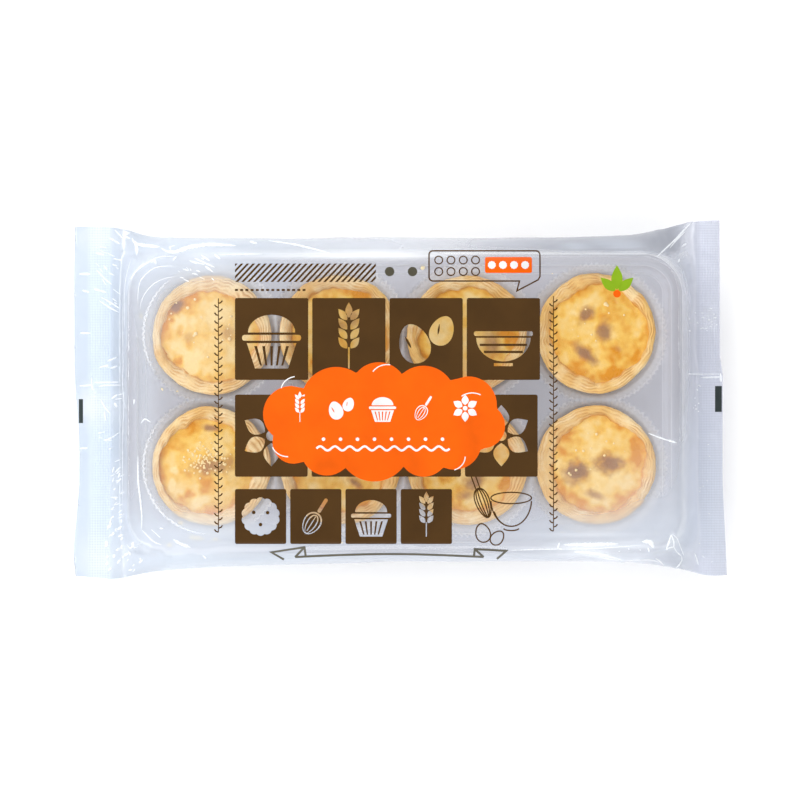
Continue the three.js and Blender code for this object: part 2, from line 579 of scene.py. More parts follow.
def cup_height(x, y, tray):
    """The height of the nearest cup: its wall, the ledge round it, and a scalloped step to the deck."""
    lowest = tray.deck
    for column, row in ((column, row) for column in COLUMNS for row in ROWS):
        reach = hypot(x - column, y - row)
        if reach > CUP_LIP_RADIUS + 2 * CUP_LIP_SLOPE:
            continue
        wave = tray.flute_depth * cos(tray.flutes * atan2(y - row, x - column))
        wall = min(max((reach - CUP_FLOOR_RADIUS) / (CUP_WALL_RADIUS - CUP_FLOOR_RADIUS), 0), 1)
        ledge = ease(reach, CUP_WALL_RADIUS, CUP_LIP_RADIUS)
        lip = ease(reach + wave, CUP_LIP_RADIUS - CUP_LIP_SLOPE, CUP_LIP_RADIUS + CUP_LIP_SLOPE)
        height = blend(CUP_FLOOR, tray.deck - CUP_LEDGE_DROP, wall)
        height += (CUP_LEDGE_DROP - CUP_LIP) * ledge + CUP_LIP * lip + 0.5 * wave * wall * (1 - lip)
        lowest = min(lowest, height)
    return lowest


def tray_height(x, y, tray):
    """The height of the tray at a place: a cup or the deck, a low step, the rim and its turned edge."""
    inside = distance_inside(x, y)
    step = STEP * ease(inside, STEP_PLACE, STEP_PLACE - STEP_SLOPE)
    rim = ease(inside, RIM_WIDTH + RIM_SLOPE, RIM_WIDTH)
    height = blend(cup_height(x, y, tray) + step, tray.rim, rim)
    return height - EDGE_DROP * ease(inside, EDGE_WIDTH, 0.0)


def make_tray():
    tray = settings().tray
    bm = bmesh.new()
    cells_x = round((TRAY_RIGHT - TRAY_LEFT) / TRAY_CELL)
    cells_y = round((TRAY_BACK - TRAY_FRONT) / TRAY_CELL)
    bmesh.ops.create_grid(bm, x_segments=cells_x, y_segments=cells_y, size=1.0)
    inside, reach = float_layers(bm, "inside", "reach")
    for vert in bm.verts:
        x, y = tray_plan(vert.co.x, vert.co.y)
        vert.co = (x, y, tray_height(x, y, tray))
        vert[inside] = distance_inside(x, y)
        away, column, row = min((hypot(x - c, y - r), c, r) for c in COLUMNS for r in ROWS)
        angle = atan2(y - row, x - column)
        vert[reach] = away + 0.5 * MM * cos(tray.flutes * angle)
    bmesh.ops.recalc_face_normals(bm, faces=bm.faces)
    piece = add_piece("tray", bm, material_named("milky_sheet", tray_material))
    thicken(piece, tray.wall)


# ---------------- the tarts

# Browned patches by tart: where they lie from its middle, their two radii, their turn in degrees,
# and how dark they are. Amber patches are the same, but only golden, and pale where they're below 0.
SCORCHES = {
    (0, 0): (
        (-15.0, 13.0, 3.9, 2.9, 40, 1.0),
        (-10.0, -1.0, 2.8, 2.2, 0, 0.34),
        (6.7, 0.9, 3.0, 3.0, 0, 0.5),
    ),
    (3, 0): (
        (-4.4, 7.8, 4.4, 2.9, 42, 0.85),
        (3.4, 0.6, 3.1, 4.6, -8, 0.85),
        (-4.8, -8.3, 6.2, 2.5, -42, 0.9),
        (8.9, -6.4, 2.6, 1.3, -20, 0.3),
    ),
    (0, 1): (
        (0.5, 0.3, 9.0, 3.6, 8, 0.75),
        (-0.8, 16.2, 3.6, 1.5, -8, 0.85),
    ),
    (3, 1): (
        (-8.5, -3.2, 5.4, 4.7, 30, 1.0),
        (5.6, 0.6, 6.6, 4.3, -14, 0.9),
        (-0.8, -12.6, 4.3, 2.0, -20, 0.75),
    ),
}
AMBERS = {
    (0, 0): (
        (-14.3, -11.0, 2.4, 2.2, 20, 1.9), (-14, 10, 7, 5, 45, 0.9), (-6, 17, 8, 3, 10, 0.8),
        (-13.5, 2.0, 1.8, 2.6, 0, 1.1), (-16.5, 6.5, 1.8, 1.5, 30, 1.3), (-9.5, -5.5, 1.6, 2.4, 20, 0.8),
        (-13.0, 7.0, 2.6, 2.0, 0, -0.8), (-7.0, -8.5, 3.6, 3.0, 0, -0.5),
    ),
    (3, 0): (
        (12, -8, 7, 5, 50, 0.55), (-9, -13, 8, 3, -25, 0.4), (14, 4, 3, 5, 0, 0.5),
        (3, -16.8, 9, 2.6, 0, 1.2),
    ),
    (0, 1): (
        (-9.9, -12.2, 3.2, 2.5, 0, 1.7), (-1.7, -8.0, 4, 5, 0, 1.1), (-10, 12, 8, 4, 40, 0.7),
        (-4.1, -14.2, 3.4, 1.7, 12, -1.1), (-16.9, -7.6, 1.5, 2.9, -14, -1.1),
        (-15.6, -2.0, 1.5, 1.3, 0, -0.9),
    ),
    (3, 1): ((2.4, 15.8, 2.0, 4.4, -36, 1.0), (16, 0, 3.4, 10, 0, 0.55), (-10.4, 10.6, 5, 3, -30, 0.8)),
}
CRUST_BASE = 17.2 * MM
# How far the filling lies off the middle of a tart, in millimetres: its pastry is uneven in width.
LEANINGS = {(0, 0): (-1.0, -0.4), (3, 0): (1.2, 0.2), (0, 1): (-2.5, -0.4), (3, 1): (1.7, 0.3)}
# How much browner or paler than the others a tart is: its custard, the custard's edge, its crust.
BROWNINGS = {
    (0, 0): (-0.16, 0.44, -0.32), (3, 0): (0.06, 0.3, 0.24),
    (0, 1): (-0.02, 0.36, -0.3), (3, 1): (0.0, 0.44, 0.26),
}
TART_BASE = 1.9 * MM
CUSTARD_DROP = 2.1 * MM
CUSTARD_DEPTH = 2 * MM
CUSTARD_INSET = 2.6 * MM
# Bands of the crust, by how far inside its outer edge they begin and end: where it leans with the
# filling, and where the filling's colour has soaked in.
LEANING_BAND = 2.5 * MM, 5.5 * MM
SOAKED_BAND = 4.2 * MM, 6.2 * MM
# How far lumps and flakes move the crust up and out, and how ragged its inner edge is, in millimetres.
LUMP_UP, FLAKE_UP, LUMP_OUT, FLAKE_OUT, RAGGED_EDGE = 0.7, 0.4, 0.6, 0.3, 2.6
CRUST_STEPS, CUSTARD_STEPS, CUSTARD_RINGS = 230, 150, 46


def tart_number(column, row):
    return column * 2 + row


def tart_middle(column, row):
    """Where a tart lies: in its cup, and a little off the cup's middle by chance."""
    chance = random.Random(90 + tart_number(column, row))
    shift = Vector((chance.uniform(-0.4, 0.4), chance.uniform(-0.4, 0.4), 0)) * MM
    return Vector((COLUMNS[column], ROWS[row], 0)) + shift


def patches_of(column, row, listed):
    """The patches listed for a tart, or a few placed by chance on one that the print hides."""
    if (column, row) in listed:
        return [tuple(value * MM for value in patch[:4]) + patch[4:] for patch in listed[column, row]]
    chance = random.Random(f"{column},{row},{len(listed)},{listed is AMBERS}")
    patches = []
    for _ in range(3):
        away, around = chance.uniform(3, 14) * MM, chance.uniform(0, 2 * pi)
        radii = chance.uniform(2, 5) * MM, chance.uniform(2, 4) * MM
        place = away * cos(around), away * sin(around)
        patches.append((*place, *radii, chance.uniform(0, 180), chance.uniform(0.5, 0.9)))
    return patches


def patch_strength(x, y, patches, ragged):
    """How strongly the darkest patch marks a place, less any pale ones. Their edges are ragged."""
    strength = 0.0
    for *oval, dark in patches:
        away = hypot(*in_oval(x, y, *oval)) + ragged
        share = dark * (1 - ease(away, 0.3, 1.6))
        strength = max(strength, share) if dark > 0 else strength + share
    return strength


def crust_profile(tart):
    """From the middle of the base up the outer wall, over the rim and down under the custard."""
    radius, top = tart.radius, tart.height + TART_BASE
    wall = [
        (CRUST_BASE - 1 * MM, TART_BASE),
        (CRUST_BASE + 0.3 * MM, 2.6 * MM),
        (blend(CRUST_BASE, radius, 0.42), top * 0.42),
        (blend(CRUST_BASE, radius, 0.82), top * 0.76),
        (radius - 0.1 * MM, top - 2.6 * MM),
    ]
    rim = [
        wall[-1],
        (radius - 0.1 * MM, top - 1.1 * MM),
        (radius - 0.7 * MM, top - 0.25 * MM),
        (radius - 2.2 * MM, top),
        (radius - 4.0 * MM, top - 0.5 * MM),
        (radius - 5.3 * MM, top - 1.7 * MM),
        (radius - 6.6 * MM, top - 4.2 * MM),
    ]
    path = curved_path(wall, 0.6 * MM)[:-1] + curved_path(rim, 0.19 * MM)
    floor = [(radius - 9 * MM, 5 * MM), (0, 4.4 * MM)]
    return [(0, TART_BASE), *[(point.x, point.y) for point in path], *floor]


def leaf_drift(round_place, distance, seed):
    """How far the pastry's leaves wander from even rings at a place, in leaves."""
    slow = noise.noise(round_place * 1.1 + seed)
    wavy = noise.noise(round_place * 3.4 + seed + Vector((0, 0, distance * 110)))
    ruffle = noise.noise(round_place * 9.5 + seed + Vector((0, 0, distance * 160)))
    return 2.0 * slow + 1.1 * wavy + 0.4 * ruffle


def leaf_lines(round_place, turns, distance, seed):
    """How high a pastry leaf stands at a place, and how deep the line beside it is."""
    part = turns % 1.0
    broken = 0.5 + 1.3 * noise.noise(round_place * 6 + seed + Vector((0, 0, distance * 230)))
    line = exp(-((min(part, 1 - part) / 0.22) ** 2))
    return (0.5 - part) * (0.6 + 0.6 * broken), line * min(1.0, max(0.0, broken))


def make_crust(column, row):
    tart = settings().tart
    profile = crust_profile(tart)
    bm = turned(profile, CRUST_STEPS, "along")
    marks = bm.verts.layers.float["along"]
    leaf, bake, soak = float_layers(bm, "leaf", "bake", "soak")
    strand = bm.verts.layers.float_vector.new("strand")
    number = tart_number(column, row)
    seed = Vector((7.3 * number, 3.1, 11.7))
    chance = random.Random(40 + number)
    oval, lean = 1 + chance.uniform(-0.012, 0.012), chance.uniform(0, pi)
    peaks = zip((z for _, z in profile), distances_along(profile))
    top, rim_place = max(peaks, key=lambda peak: peak[0])
    turn = Matrix.Rotation(lean, 3, "Z")
    leaning = turn.transposed() @ Vector((*LEANINGS.get((column, row), (0, 0)), 0)) * MM
    browning = 0.3 + BROWNINGS.get((column, row), (0, 0, 0))[2]
    bm.normal_update()
    moved = []
    for vert in bm.verts:
        x, y, z = vert.co
        reach = hypot(x, y)
        angle = atan2(y, x)
        round_place = Vector((cos(angle), sin(angle), 0.0))
        distance = vert[marks]
        drift = leaf_drift(round_place, distance, seed)
        turns = distance / tart.leaf + angle / pi + drift
        height, line = leaf_lines(round_place, turns, distance, seed)
        wall = ease(z, 2.4 * MM, 5 * MM) * ease(reach, CRUST_BASE - 0.5 * MM, CRUST_BASE)
        near_top = ease(z, 12 * MM, top)
        inner, soaking = 0.0, 0.0
        if distance > rim_place:
            inner = ease(tart.radius - reach, *LEANING_BAND)
            soaking = ease(tart.radius - reach, *SOAKED_BAND)
        lumpy = noise.noise(round_place * 2.2 + seed * 1.7)
        flake = noise.noise(round_place * 7.5 - seed)
        ragged = noise.noise(round_place * 1.6 - seed * 0.7) + 0.4 * noise.noise(round_place * 5 + seed)
        shift = vert.normal * (tart.leaf_depth * height * wall)
        shift.z += near_top * (LUMP_UP * lumpy + FLAKE_UP * flake) * MM
        outward = LUMP_OUT * lumpy + FLAKE_OUT * flake + RAGGED_EDGE * ragged * inner
        shift += round_place * (outward * MM * ease(reach, 12 * MM, 18 * MM)) + leaning * inner
        toasted = 0.5 * noise.noise(seed + Vector((0, 0, 5.7 * (turns // 1.0))) + round_place)
        vert[leaf] = line * wall
        vert[bake] = max(0.0, browning + lumpy + toasted) * near_top
        vert[soak] = soaking + 0.5 * flake
        vert[strand] = round_place * (5.5 * MM) + Vector((0, 0, distance + drift * tart.leaf))
        moved.append((vert, vert.co + shift))
    for vert, place in moved:
        vert.co = place
    squeeze = Matrix.Diagonal((oval, 2 - oval, 1))
    middle = tart_middle(column, row)
    for vert in bm.verts:
        vert.co = turn @ squeeze @ vert.co + middle
    add_piece(f"crust_{number + 1}", bm, material_named("puff_pastry", pastry_material))


def make_custard(column, row):
    """The filling, with a skin that rises a little at its scorched patches and at the pastry."""
    tart = settings().tart
    number = tart_number(column, row)
    level = tart.height + TART_BASE - CUSTARD_DROP
    radius = tart.radius - CUSTARD_INSET
    leaning = LEANINGS.get((column, row), (0, 0))
    paler, edge_amber, _ = BROWNINGS.get((column, row), (0, 0.44, 0))
    rings = [(i * radius / CUSTARD_RINGS, level) for i in range(CUSTARD_RINGS + 1)]
    foot = level - CUSTARD_DEPTH
    bm = turned([*rings, (radius - 0.6 * MM, foot), (0, foot)], CUSTARD_STEPS)
    amber, scorch = float_layers(bm, "amber", "scorch")
    browned = patches_of(column, row, SCORCHES)
    golden = patches_of(column, row, AMBERS)
    seed = Vector((5.9 * number, 23.0, 1.3))
    for vert in bm.verts:
        if vert.co.z < level - 1 * MM:
            continue
        x, y = vert.co.x, vert.co.y
        reach = hypot(x, y) / radius
        place = Vector((x, y, 0)) / MM
        ragged = 0.38 * noise.noise(place * 0.3 + seed) + 0.16 * noise.noise(place * 0.9 + seed)
        mottled = noise.noise(place * 0.13 - seed) + 0.55 * noise.noise(place * 0.42 - seed)
        dark = patch_strength(x, y, browned, ragged)
        warm = patch_strength(x, y, golden, ragged * 1.3)
        off_middle = hypot(x - leaning[0] * MM, y - leaning[1] * MM) / radius
        edge = ease(off_middle + 0.12 * mottled, 0.62, 0.86)
        vert[scorch] = dark
        vert[amber] = 0.33 + paler + edge_amber * edge + 0.5 * warm + 0.3 * dark + 0.5 * mottled
        rise = 0.5 * (1 - reach**2) + 0.5 * ease(reach, 0.86, 1.0) + 0.3 * mottled
        rise += 0.3 * dark + 0.12 * noise.noise(place * 0.8 + seed * 2) - 0.2 * warm
        vert.co.z += rise * MM
    bmesh.ops.translate(bm, verts=bm.verts, vec=tart_middle(column, row))
    add_piece(f"custard_{number + 1}", bm, material_named("baked_custard", custard_material))


ABOVE_ALL = 200 * MM


def drop_onto(surface, x, y):
    """The point of a surface straight below a place, and the way the surface faces there."""
    return surface.ray_cast(Vector((x, y, ABOVE_ALL)), Vector((0, 0, -1)))[:2]


def surface_of(name):
    """A tree of a piece's faces, modifiers included, that rays can be cast at."""
    bm = bmesh.new()
    bm.from_object(bpy.data.objects[name], bpy.context.evaluated_depsgraph_get())
    tree = BVHTree.FromBMesh(bm)
    bm.free()
    return tree


# Larger drops and bubbles in the tarts, many of them standing for small highlights on the custard:
# where each lies from a tart's middle and its radius.
DROPS = {
    (0, 0): (
        (-10.6, 11.2, 0.75), (-15.4, 13.4, 0.45), (-17.6, 8.8, 0.45), (-18.4, 6.4, 0.4), (7.2, -2.0, 0.8),
        (4.4, -2.4, 0.5), (-7.2, 0.2, 0.85), (-7.9, -0.6, 0.6), (-7.5, 14.8, 0.65), (7.2, 4.2, 0.4),
    ),
    (3, 0): ((3.9, 12.8, 0.95), (4.7, 12.2, 0.6), (-2.1, -0.2, 0.5), (-4.6, 10.6, 0.45)),
    (3, 1): ((3.4, 4.4, 0.55), (-11.7, -3.2, 0.6), (-11.0, -3.9, 0.5), (7.4, 9.5, 0.45)),
}
# How many small bubbles each tart has. They crowd together in the one that has the most.
BUBBLE_COUNTS = {(0, 1): 110, (0, 0): 9, (3, 0): 7, (3, 1): 9}


def make_bubbles():
    """Small burst and unburst bubbles in the custard, most of them in one tart."""
    chance = random.Random(12)
    bm = bmesh.new()
    for (column, row), count in BUBBLE_COUNTS.items():
        surface = surface_of(f"custard_{tart_number(column, row) + 1}")
        drops = list(DROPS.get((column, row), ()))
        aside, spread = (-2.6, 5.0) if count == max(BUBBLE_COUNTS.values()) else (0, 9)
        for _ in range(count):
            x, y = chance.gauss(aside, spread), chance.gauss(2, spread * 0.7)
            drops.append((x, y, chance.uniform(0.2, 0.65)))
        for x, y, size in drops:
            point, normal = drop_onto(surface, COLUMNS[column] + x * MM, ROWS[row] + y * MM)
            if point is None:
                continue
            size *= MM
            ball = bmesh.ops.create_icosphere(bm, subdivisions=2, radius=size)["verts"]
            bmesh.ops.scale(bm, verts=ball, vec=(1, 1, 0.5))
            bmesh.ops.translate(bm, verts=ball, vec=point + normal * size * 0.1)
    add_piece("custard_bubbles", bm, material_named("custard_bubble", bubble_glint_material))


# Where the larger crumbs lie and half their length and width, in millimetres, and their turn in degrees.
LARGE_CRUMBS = (
    (-87.2, -58.8, 3.0, 1.2, -6), (-79.2, -59.6, 1.5, 0.8, 40), (-94.0, -52.4, 1.2, 0.8, 20),
    (-98.3, -61.5, 1.0, 0.8, 60), (-52.4, -53.5, 1.4, 0.7, 80), (9.1, 56.6, 1.3, 0.9, 90),
    (-110.6, 35.7, 1.2, 0.5, 88),
)


def make_crumbs():
    """Loose flakes of pastry on the tray."""
    chance = random.Random(31)
    tray = surface_of("tray")
    bm = bmesh.new()
    flakes = list(LARGE_CRUMBS)
    for _ in range(18):
        x, size = chance.uniform(-108, 110), chance.uniform(0.2, 0.5)
        y = chance.choice((chance.uniform(-61, -50), chance.uniform(-5, 5), chance.uniform(50, 57)))
        flakes.append((x, y, size * chance.uniform(0.8, 1.6), size, chance.uniform(0, 180)))
    for x, y, half_length, half_width, turn in flakes:
        point, normal = drop_onto(tray, x * MM, y * MM)
        flake = bmesh.ops.create_icosphere(bm, subdivisions=2, radius=MM)["verts"]
        for vert in flake:
            vert.co *= 1 + 0.6 * noise.noise(vert.co * 1400 + Vector((x, y, 0)))
        bmesh.ops.scale(bm, verts=flake, vec=(half_length, half_width, 0.35 * half_width))
        level = Matrix.Rotation(radians(turn), 3, "Z")
        bmesh.ops.rotate(bm, verts=flake, cent=(0, 0, 0), matrix=level)
        bmesh.ops.translate(bm, verts=flake, vec=point + normal * half_width * 0.15 * MM)
    add_piece("crumbs", bm, material_named("pale_crumb", crumb_material), smooth=False)


# ---------------- the wrap

LEFT_ROOT = -120.5 * MM
RIGHT_ROOT = 128 * MM
CRIMP_BAND = 10 * MM
LEFT_CRIMP = -134 * MM
# The outline of the pack from above: places along it, and how far each side reaches there.
FRONT_REACH = (
    (-140, 75.4), (-121, 77.0), (-115, 75.0), (-100, 72.6), (-78, 71.3), (0, 69.0),
    (95, 69.0), (106, 70.2), (121, 72.6), (129.5, 75.6), (140, 75.0),
)
BACK_REACH = (
    (-140, 74.4), (-121, 74.0), (-115, 71.8), (-107, 69.6), (-77, 68.9), (0, 69.3),
    (70, 69.3), (100, 70.6), (126.7, 76.6), (140, 77.2),
)
TOP_FRONT_REACH = 65.5 * MM
TOP_BACK_REACH = 63 * MM
BASE_REACH = 63 * MM
LEFT_FLARE, RIGHT_FLARE = 12 * MM, 14 * MM
FILM_GAP = 0.25 * MM
FILM_END = PACK_HIGH.x - 1.55 * MM
BASE_LIFT = 0.2 * MM
# Where the two cut ends lie, as places across the pack and along it.
LEFT_END = (
    (-76, -139.6), (-68, -140.5), (-61, -140.3), (-49, -139.2), (-36, -138.2), (-22, -138.2),
    (-10, -138.6), (4, -139.8), (15, -140.3), (50, -140.3), (76, -140),
)
RIGHT_END = (
    (-76, 139.7), (-66, 139.3), (-43, 138.1), (-34, 137.7), (11, 137.7), (19, 136.5), (76, 136.5),
)


def side_reach(x, side):
    """How far the wrap reaches to one side, smoothed over a few millimetres."""
    outline = np.array(BACK_REACH if side > 0 else FRONT_REACH) * MM
    around = [x - 4 * MM, x - 2 * MM, x, x + 2 * MM, x + 4 * MM]
    return float(np.mean(np.interp(around, outline[:, 0], outline[:, 1])))


def corner_pull(y):
    """How far the tray's rounded end is pulled in from its straight end."""
    past = abs(y) - ((TRAY_BACK if y > 0 else -TRAY_FRONT) - TRAY_CORNER)
    if past <= 0:
        return 0.0
    return TRAY_CORNER - sqrt(TRAY_CORNER**2 - min(past, TRAY_CORNER) ** 2)


def wrap_fullness(x, y):
    """1 over the tray, 0 at the seals, falling between the tray's edge and the seal's root."""
    pull = corner_pull(y)
    left = ease(x, LEFT_ROOT, TRAY_LEFT + pull + 1 * MM)
    right = 1 - ease(x, TRAY_RIGHT - pull - 1 * MM, RIGHT_ROOT)
    return min(left, right)


def end_shift(x, y):
    """How far a place near one end moves along the pack, so that the film's cut edge is uneven."""
    places = LEFT_END if x < 0 else RIGHT_END
    cut = float(np.interp(y / MM, *zip(*places))) * MM
    if x < 0:
        return (cut - PACK_LOW.x) * ease(-x, -LEFT_ROOT, -PACK_LOW.x)
    return (cut - FILM_END) * ease(x, RIGHT_ROOT - 30 * MM, FILM_END)


def wrap_point(x, across, up, wrap):
    """A point of the smooth wrap. Across and up run from -1 to 1 round its section."""
    edge = side_reach(x, across)
    top_reach = TOP_BACK_REACH if across > 0 else TOP_FRONT_REACH
    straight = blend(BASE_REACH, top_reach, (up + 1) / 2)
    left_drawn = ease(x, LEFT_ROOT, LEFT_ROOT + LEFT_FLARE)
    drawn = min(left_drawn, 1 - ease(x, RIGHT_ROOT - RIGHT_FLARE, RIGHT_ROOT))
    y = across * blend(edge, straight, drawn * up * up)
    full = wrap_fullness(x, y)
    seal = wrap.seal_height + 0.9 * MM * sin(y * 34 + x * 9) * (1 - full)
    droop = max(LEFT_ROOT - x, x - RIGHT_ROOT, 0.0) / (20 * MM)
    seal -= 0.5 * MM * droop * droop
    top = blend(seal + FILM_GAP / 2, wrap.top, full)
    base = blend(seal - FILM_GAP / 2, BASE_LIFT, full)
    return Vector((x + end_shift(x, y), y, blend(base, top, (up + 1) / 2)))


def wrap_stations():
    """Where the wrap's sections lie: close together at crimps and steep ends."""
    steps = (
        (PACK_LOW.x, 0.9), (LEFT_CRIMP, 0.28), (LEFT_CRIMP + CRIMP_BAND, 0.8), (LEFT_ROOT, 0.5),
        (LEFT_ROOT + 8 * MM, 0.62), (-88 * MM, 1.3), (92 * MM, 0.75), (RIGHT_ROOT - 16 * MM, 0.65),
        (RIGHT_ROOT, 0.28), (FILM_END, None),
    )
    stations = []
    for (start, step), (end, _) in zip(steps, steps[1:]):
        count = round((end - start) / (step * MM))
        stations += [blend(start, end, i / count) for i in range(count)]
    return [*stations, FILM_END]


def section_loop():
    """Places round the section, across and up from -1 to 1: over the top and back under the base."""
    half_width, half_height, corner = 68.0, 14.5, 7.0
    flat, wall = half_width - corner, half_height - corner

    def half(step, direction):
        """From the middle of one side over the flat face to the middle of the other."""
        points = [(-half_width, direction * wall * t / 3) for t in range(3)]
        for i in range(9):
            angle = pi - i * pi / 16
            x, z = corner * cos(angle) - flat, wall + corner * sin(angle)
            points.append((x, direction * z))
        count = round(2 * flat / step)
        points += [(blend(-flat, flat, i / count), direction * half_height) for i in range(1, count)]
        return points + [(-x, z) for x, z in reversed(points[:12])]

    top = half(0.7, 1)
    base = half(4.0, -1)
    around = top + base[::-1]
    return [(x / half_width, z / half_height) for x, z in around]


# The film's larger folds: how wide each is, in millimetres, and then the x and the y of each place
# that it passes through, in tenths of a millimetre. They raise the film, and each is also laid over it
# as a white strip of painted highlight.
FOLDS = (
    (1.6, 686, -613, 800, -612, 920, -609), (1.7, 730, -643, 820, -650, 886, -666, 940, -683),
    (1.4, -1153, 695, -1140, 673, -1106, 661, -1068, 656, -1025, 650),
    (1.5, -1140, 682, -1132, 652, -1129, 618),
    (1.8, -1023, 648, -994, 631, -955, 629, -913, 644, -866, 655, -799, 661, -701, 655),
    (0.8, -977, 636, -981, 650, -960, 655), (0.5, -786, 616, -693, 617, -591, 619),
    (0.9, -850, 616, -811, 589), (0.9, -794, 619, -767, 597), (0.7, -879, 602, -837, 583, -790, 561),
    (0.5, -900, 591, -833, 574), (0.8, -833, 568, -797, 542), (0.8, -1047, 597, -1038, 576),
    (0.8, -953, 610, -968, 591), (0.6, -888, 536, -864, 532), (0.6, -1229, 729, -1190, 690),
    (0.7, -1194, 705, -1160, 690), (0.7, -1246, 695, -1205, 667), (0.9, -1310, 630, -1271, 622),
    (1.2, -1381, 540, -1331, 540), (0.7, -1306, 557, -1276, 525, -1239, 493),
    (0.9, -1368, 470, -1336, 461), (0.9, -1319, 476, -1263, 461),
    (0.7, -1289, 442, -1250, 420, -1207, 392), (0.7, -1297, 427, -1254, 399, -1211, 375),
    (0.8, -1379, 287, -1331, 287), (0.7, -1263, 165, -1218, 184), (0.7, -1297, 139, -1254, 150),
    (0.8, -1250, 135, -1216, 146), (0.8, -1383, 60, -1323, 64), (0.8, -1319, 75, -1211, 77),
    (0.6, -1293, 62, -1203, 64), (0.6, -1329, 99, -1325, 39), (0.9, -1291, 6, -1271, -30, -1246, -58),
    (0.8, -1274, -47, -1267, -90), (0.9, -1244, 6, -1216, 24), (1.1, -1231, -11, -1218, -32),
    (0.6, -1278, -172, -1246, -163, -1211, -139), (0.8, -1381, -208, -1344, -206),
    (0.8, -1229, -313, -1207, -289),
    (0.6, -1191, 443, -1193, 298, -1190, 149, -1193, 64, -1184, -26, -1192, -107, -1195, -298, -1194,
      -477),
    (0.5, -1180, 298, -1181, 460, -1170, 546, -1153, 605), (0.6, -1104, -100, -1087, -81, -1061, -95),
    (0.6, -1132, 4, -1133, -19), (0.7, -1116, -233, -1115, -339, -1106, -424, -1100, -491, -1100, -551),
    (0.6, -1100, -549, -1074, -576, -1049, -600, -1015, -614), (0.4, -1061, -547, -1019, -585),
    (1.2, -966, -591, -934, -610, -892, -625), (0.8, -1025, -544, -1008, -544),
    (1.0, -843, -659, -828, -674), (0.8, -1176, -616, -1159, -635, -1142, -607, -1140, -631, -1119, -622),
    (0.9, -1170, -646, -1157, -665), (0.8, -566, 678, -472, 665, -383, 644, -303, 623),
    (1.1, -646, 676, -612, 665), (0.8, 1142, -569, 1132, -605, 1121, -637),
    (0.7, 1121, -637, 1138, -627, 1159, -624), (0.7, 1142, -569, 1154, -601, 1157, -627),
    (0.6, 1157, -624, 1174, -648, 1198, -667), (0.7, 1198, -665, 1199, -686, 1187, -707, 1172, -720),
    (0.4, 1144, -567, 1168, -586, 1189, -627, 1210, -667), (0.6, 1256, -656, 1265, -678, 1274, -708),
    (1.9, 1019, -600, 1053, -602, 1068, -627), (0.6, 1044, -625, 1051, -646), (0.8, 669, -604, 663, -629),
    (0.5, 434, -638, 587, -633, 841, -628, 1015, -614), (0.5, 951, -684, 1053, -680, 1100, -693),
    (0.6, 1080, -673, 1102, -688, 1123, -710), (0.7, 1242, 761, 1166, 682, 1083, 607),
    (0.6, 1223, 742, 1144, 646), (0.4, 1215, 722, 1168, 673), (0.7, 1200, 656, 1221, 671),
    (0.7, 1178, 586, 1189, 603), (0.9, 1367, 244, 1367, 154), (0.7, 1280, 96, 1374, 99),
    (1.0, 1367, 116, 1369, 77), (0.4, 1216, 111, 1370, 111), (0.6, 1044, -140, 1104, -163, 1167, -182),
    (0.8, 1125, -169, 1163, -181),
)
# Fainter white strips of painted highlight, where the film lies on the ridges of the tray, in the same
# form.
RIDGES = (
    (0.7, -1158, 502, -1123, 545, -1088, 573, -1038, 602, -995, 610, -960, 605),
    (0.5, -1116, 400, -1116, 446, -1109, 495, -1088, 527, -1052, 556, -1009, 566, -953, 566),
    (0.45, -1106, 382, -1102, 417, -1080, 460, -1045, 495, -1003, 514, -953, 523),
)
# Painted highlight where the film lies on a cup's scalloped lip: the cup, and the first and the last
# angle in degrees.
LIPS = (((0, 0), 125, 215), ((0, 1), 135, 268))
# Clusters of short white strips of painted highlight, as glints on small folds: their lowest and
# highest places, how many, how long, how wide, and their lean in degrees.
FOLD_CLUSTERS = (
    ((-124.8, -52), (-120.6, -30), 22, (1.7, 3.4), (0.4, 0.8), 35),
    ((-127, -74), (-120, -52), 22, (1.0, 3.0), (0.6, 1.3), 60),
    ((-120, -75), (-112, -61), 12, (1.0, 2.5), (0.4, 0.9), 30),
    ((-133, 40), (-121, 71), 18, (1.5, 4.0), (0.3, 0.6), -36),
    ((-133, -34), (-121, 19), 12, (1.0, 4.0), (0.3, 0.6), 15),
    ((122, 28), (127.2, 38), 16, (0.4, 0.9), (0.5, 0.9), 0),
    ((127.6, 30), (135.8, 39.5), 26, (0.5, 1.5), (0.3, 0.6), 0),
    ((124.6, -6), (127.8, 7), 15, (0.4, 1.0), (0.4, 0.8), 40),
    ((127, -74), (133, -13), 20, (0.4, 1.2), (0.3, 0.5), 0),
    ((91, -65), (103.4, -62.4), 14, (0.4, 1.0), (0.4, 0.7), 0),
    ((-95.5, 51), (-79.4, 61), 16, (0.8, 3.0), (0.2, 0.5), -30),
    ((-106, -43), (-62, 43), 18, (0.2, 0.6), (0.25, 0.5), 30),
    ((60, -43), (107, 43), 18, (0.2, 0.6), (0.25, 0.5), 30),
)


def fold_paths(rows):
    """Each row's width and the places that it passes through, in millimetres."""
    return [(width, [(x / 10, y / 10) for x, y in zip(flat[::2], flat[1::2])]) for width, *flat in rows]


# How white each kind of strip is: the strength of its painted highlight.
FOLD_HIGHLIGHT, RIDGE_HIGHLIGHT, LIP_HIGHLIGHT = 0.8, 0.4, 0.27
LIP_RADIUS, LIP_WIDTH = 28.9, 0.8


def lip_path(cup, start, end):
    """Part of the scalloped lip of a cup, in millimetres."""
    points = []
    for degrees in range(start, end):
        a = radians(degrees)
        wander = 0.45 * noise.noise(Vector((degrees * 0.42, cup[1], 0)))
        reach = LIP_RADIUS + wander + 0.3 * cos(settings().tray.flutes * a)
        middle = COLUMNS[cup[0]] / MM, ROWS[cup[1]] / MM
        points.append((middle[0] + reach * cos(a), middle[1] + reach * sin(a)))
    return points


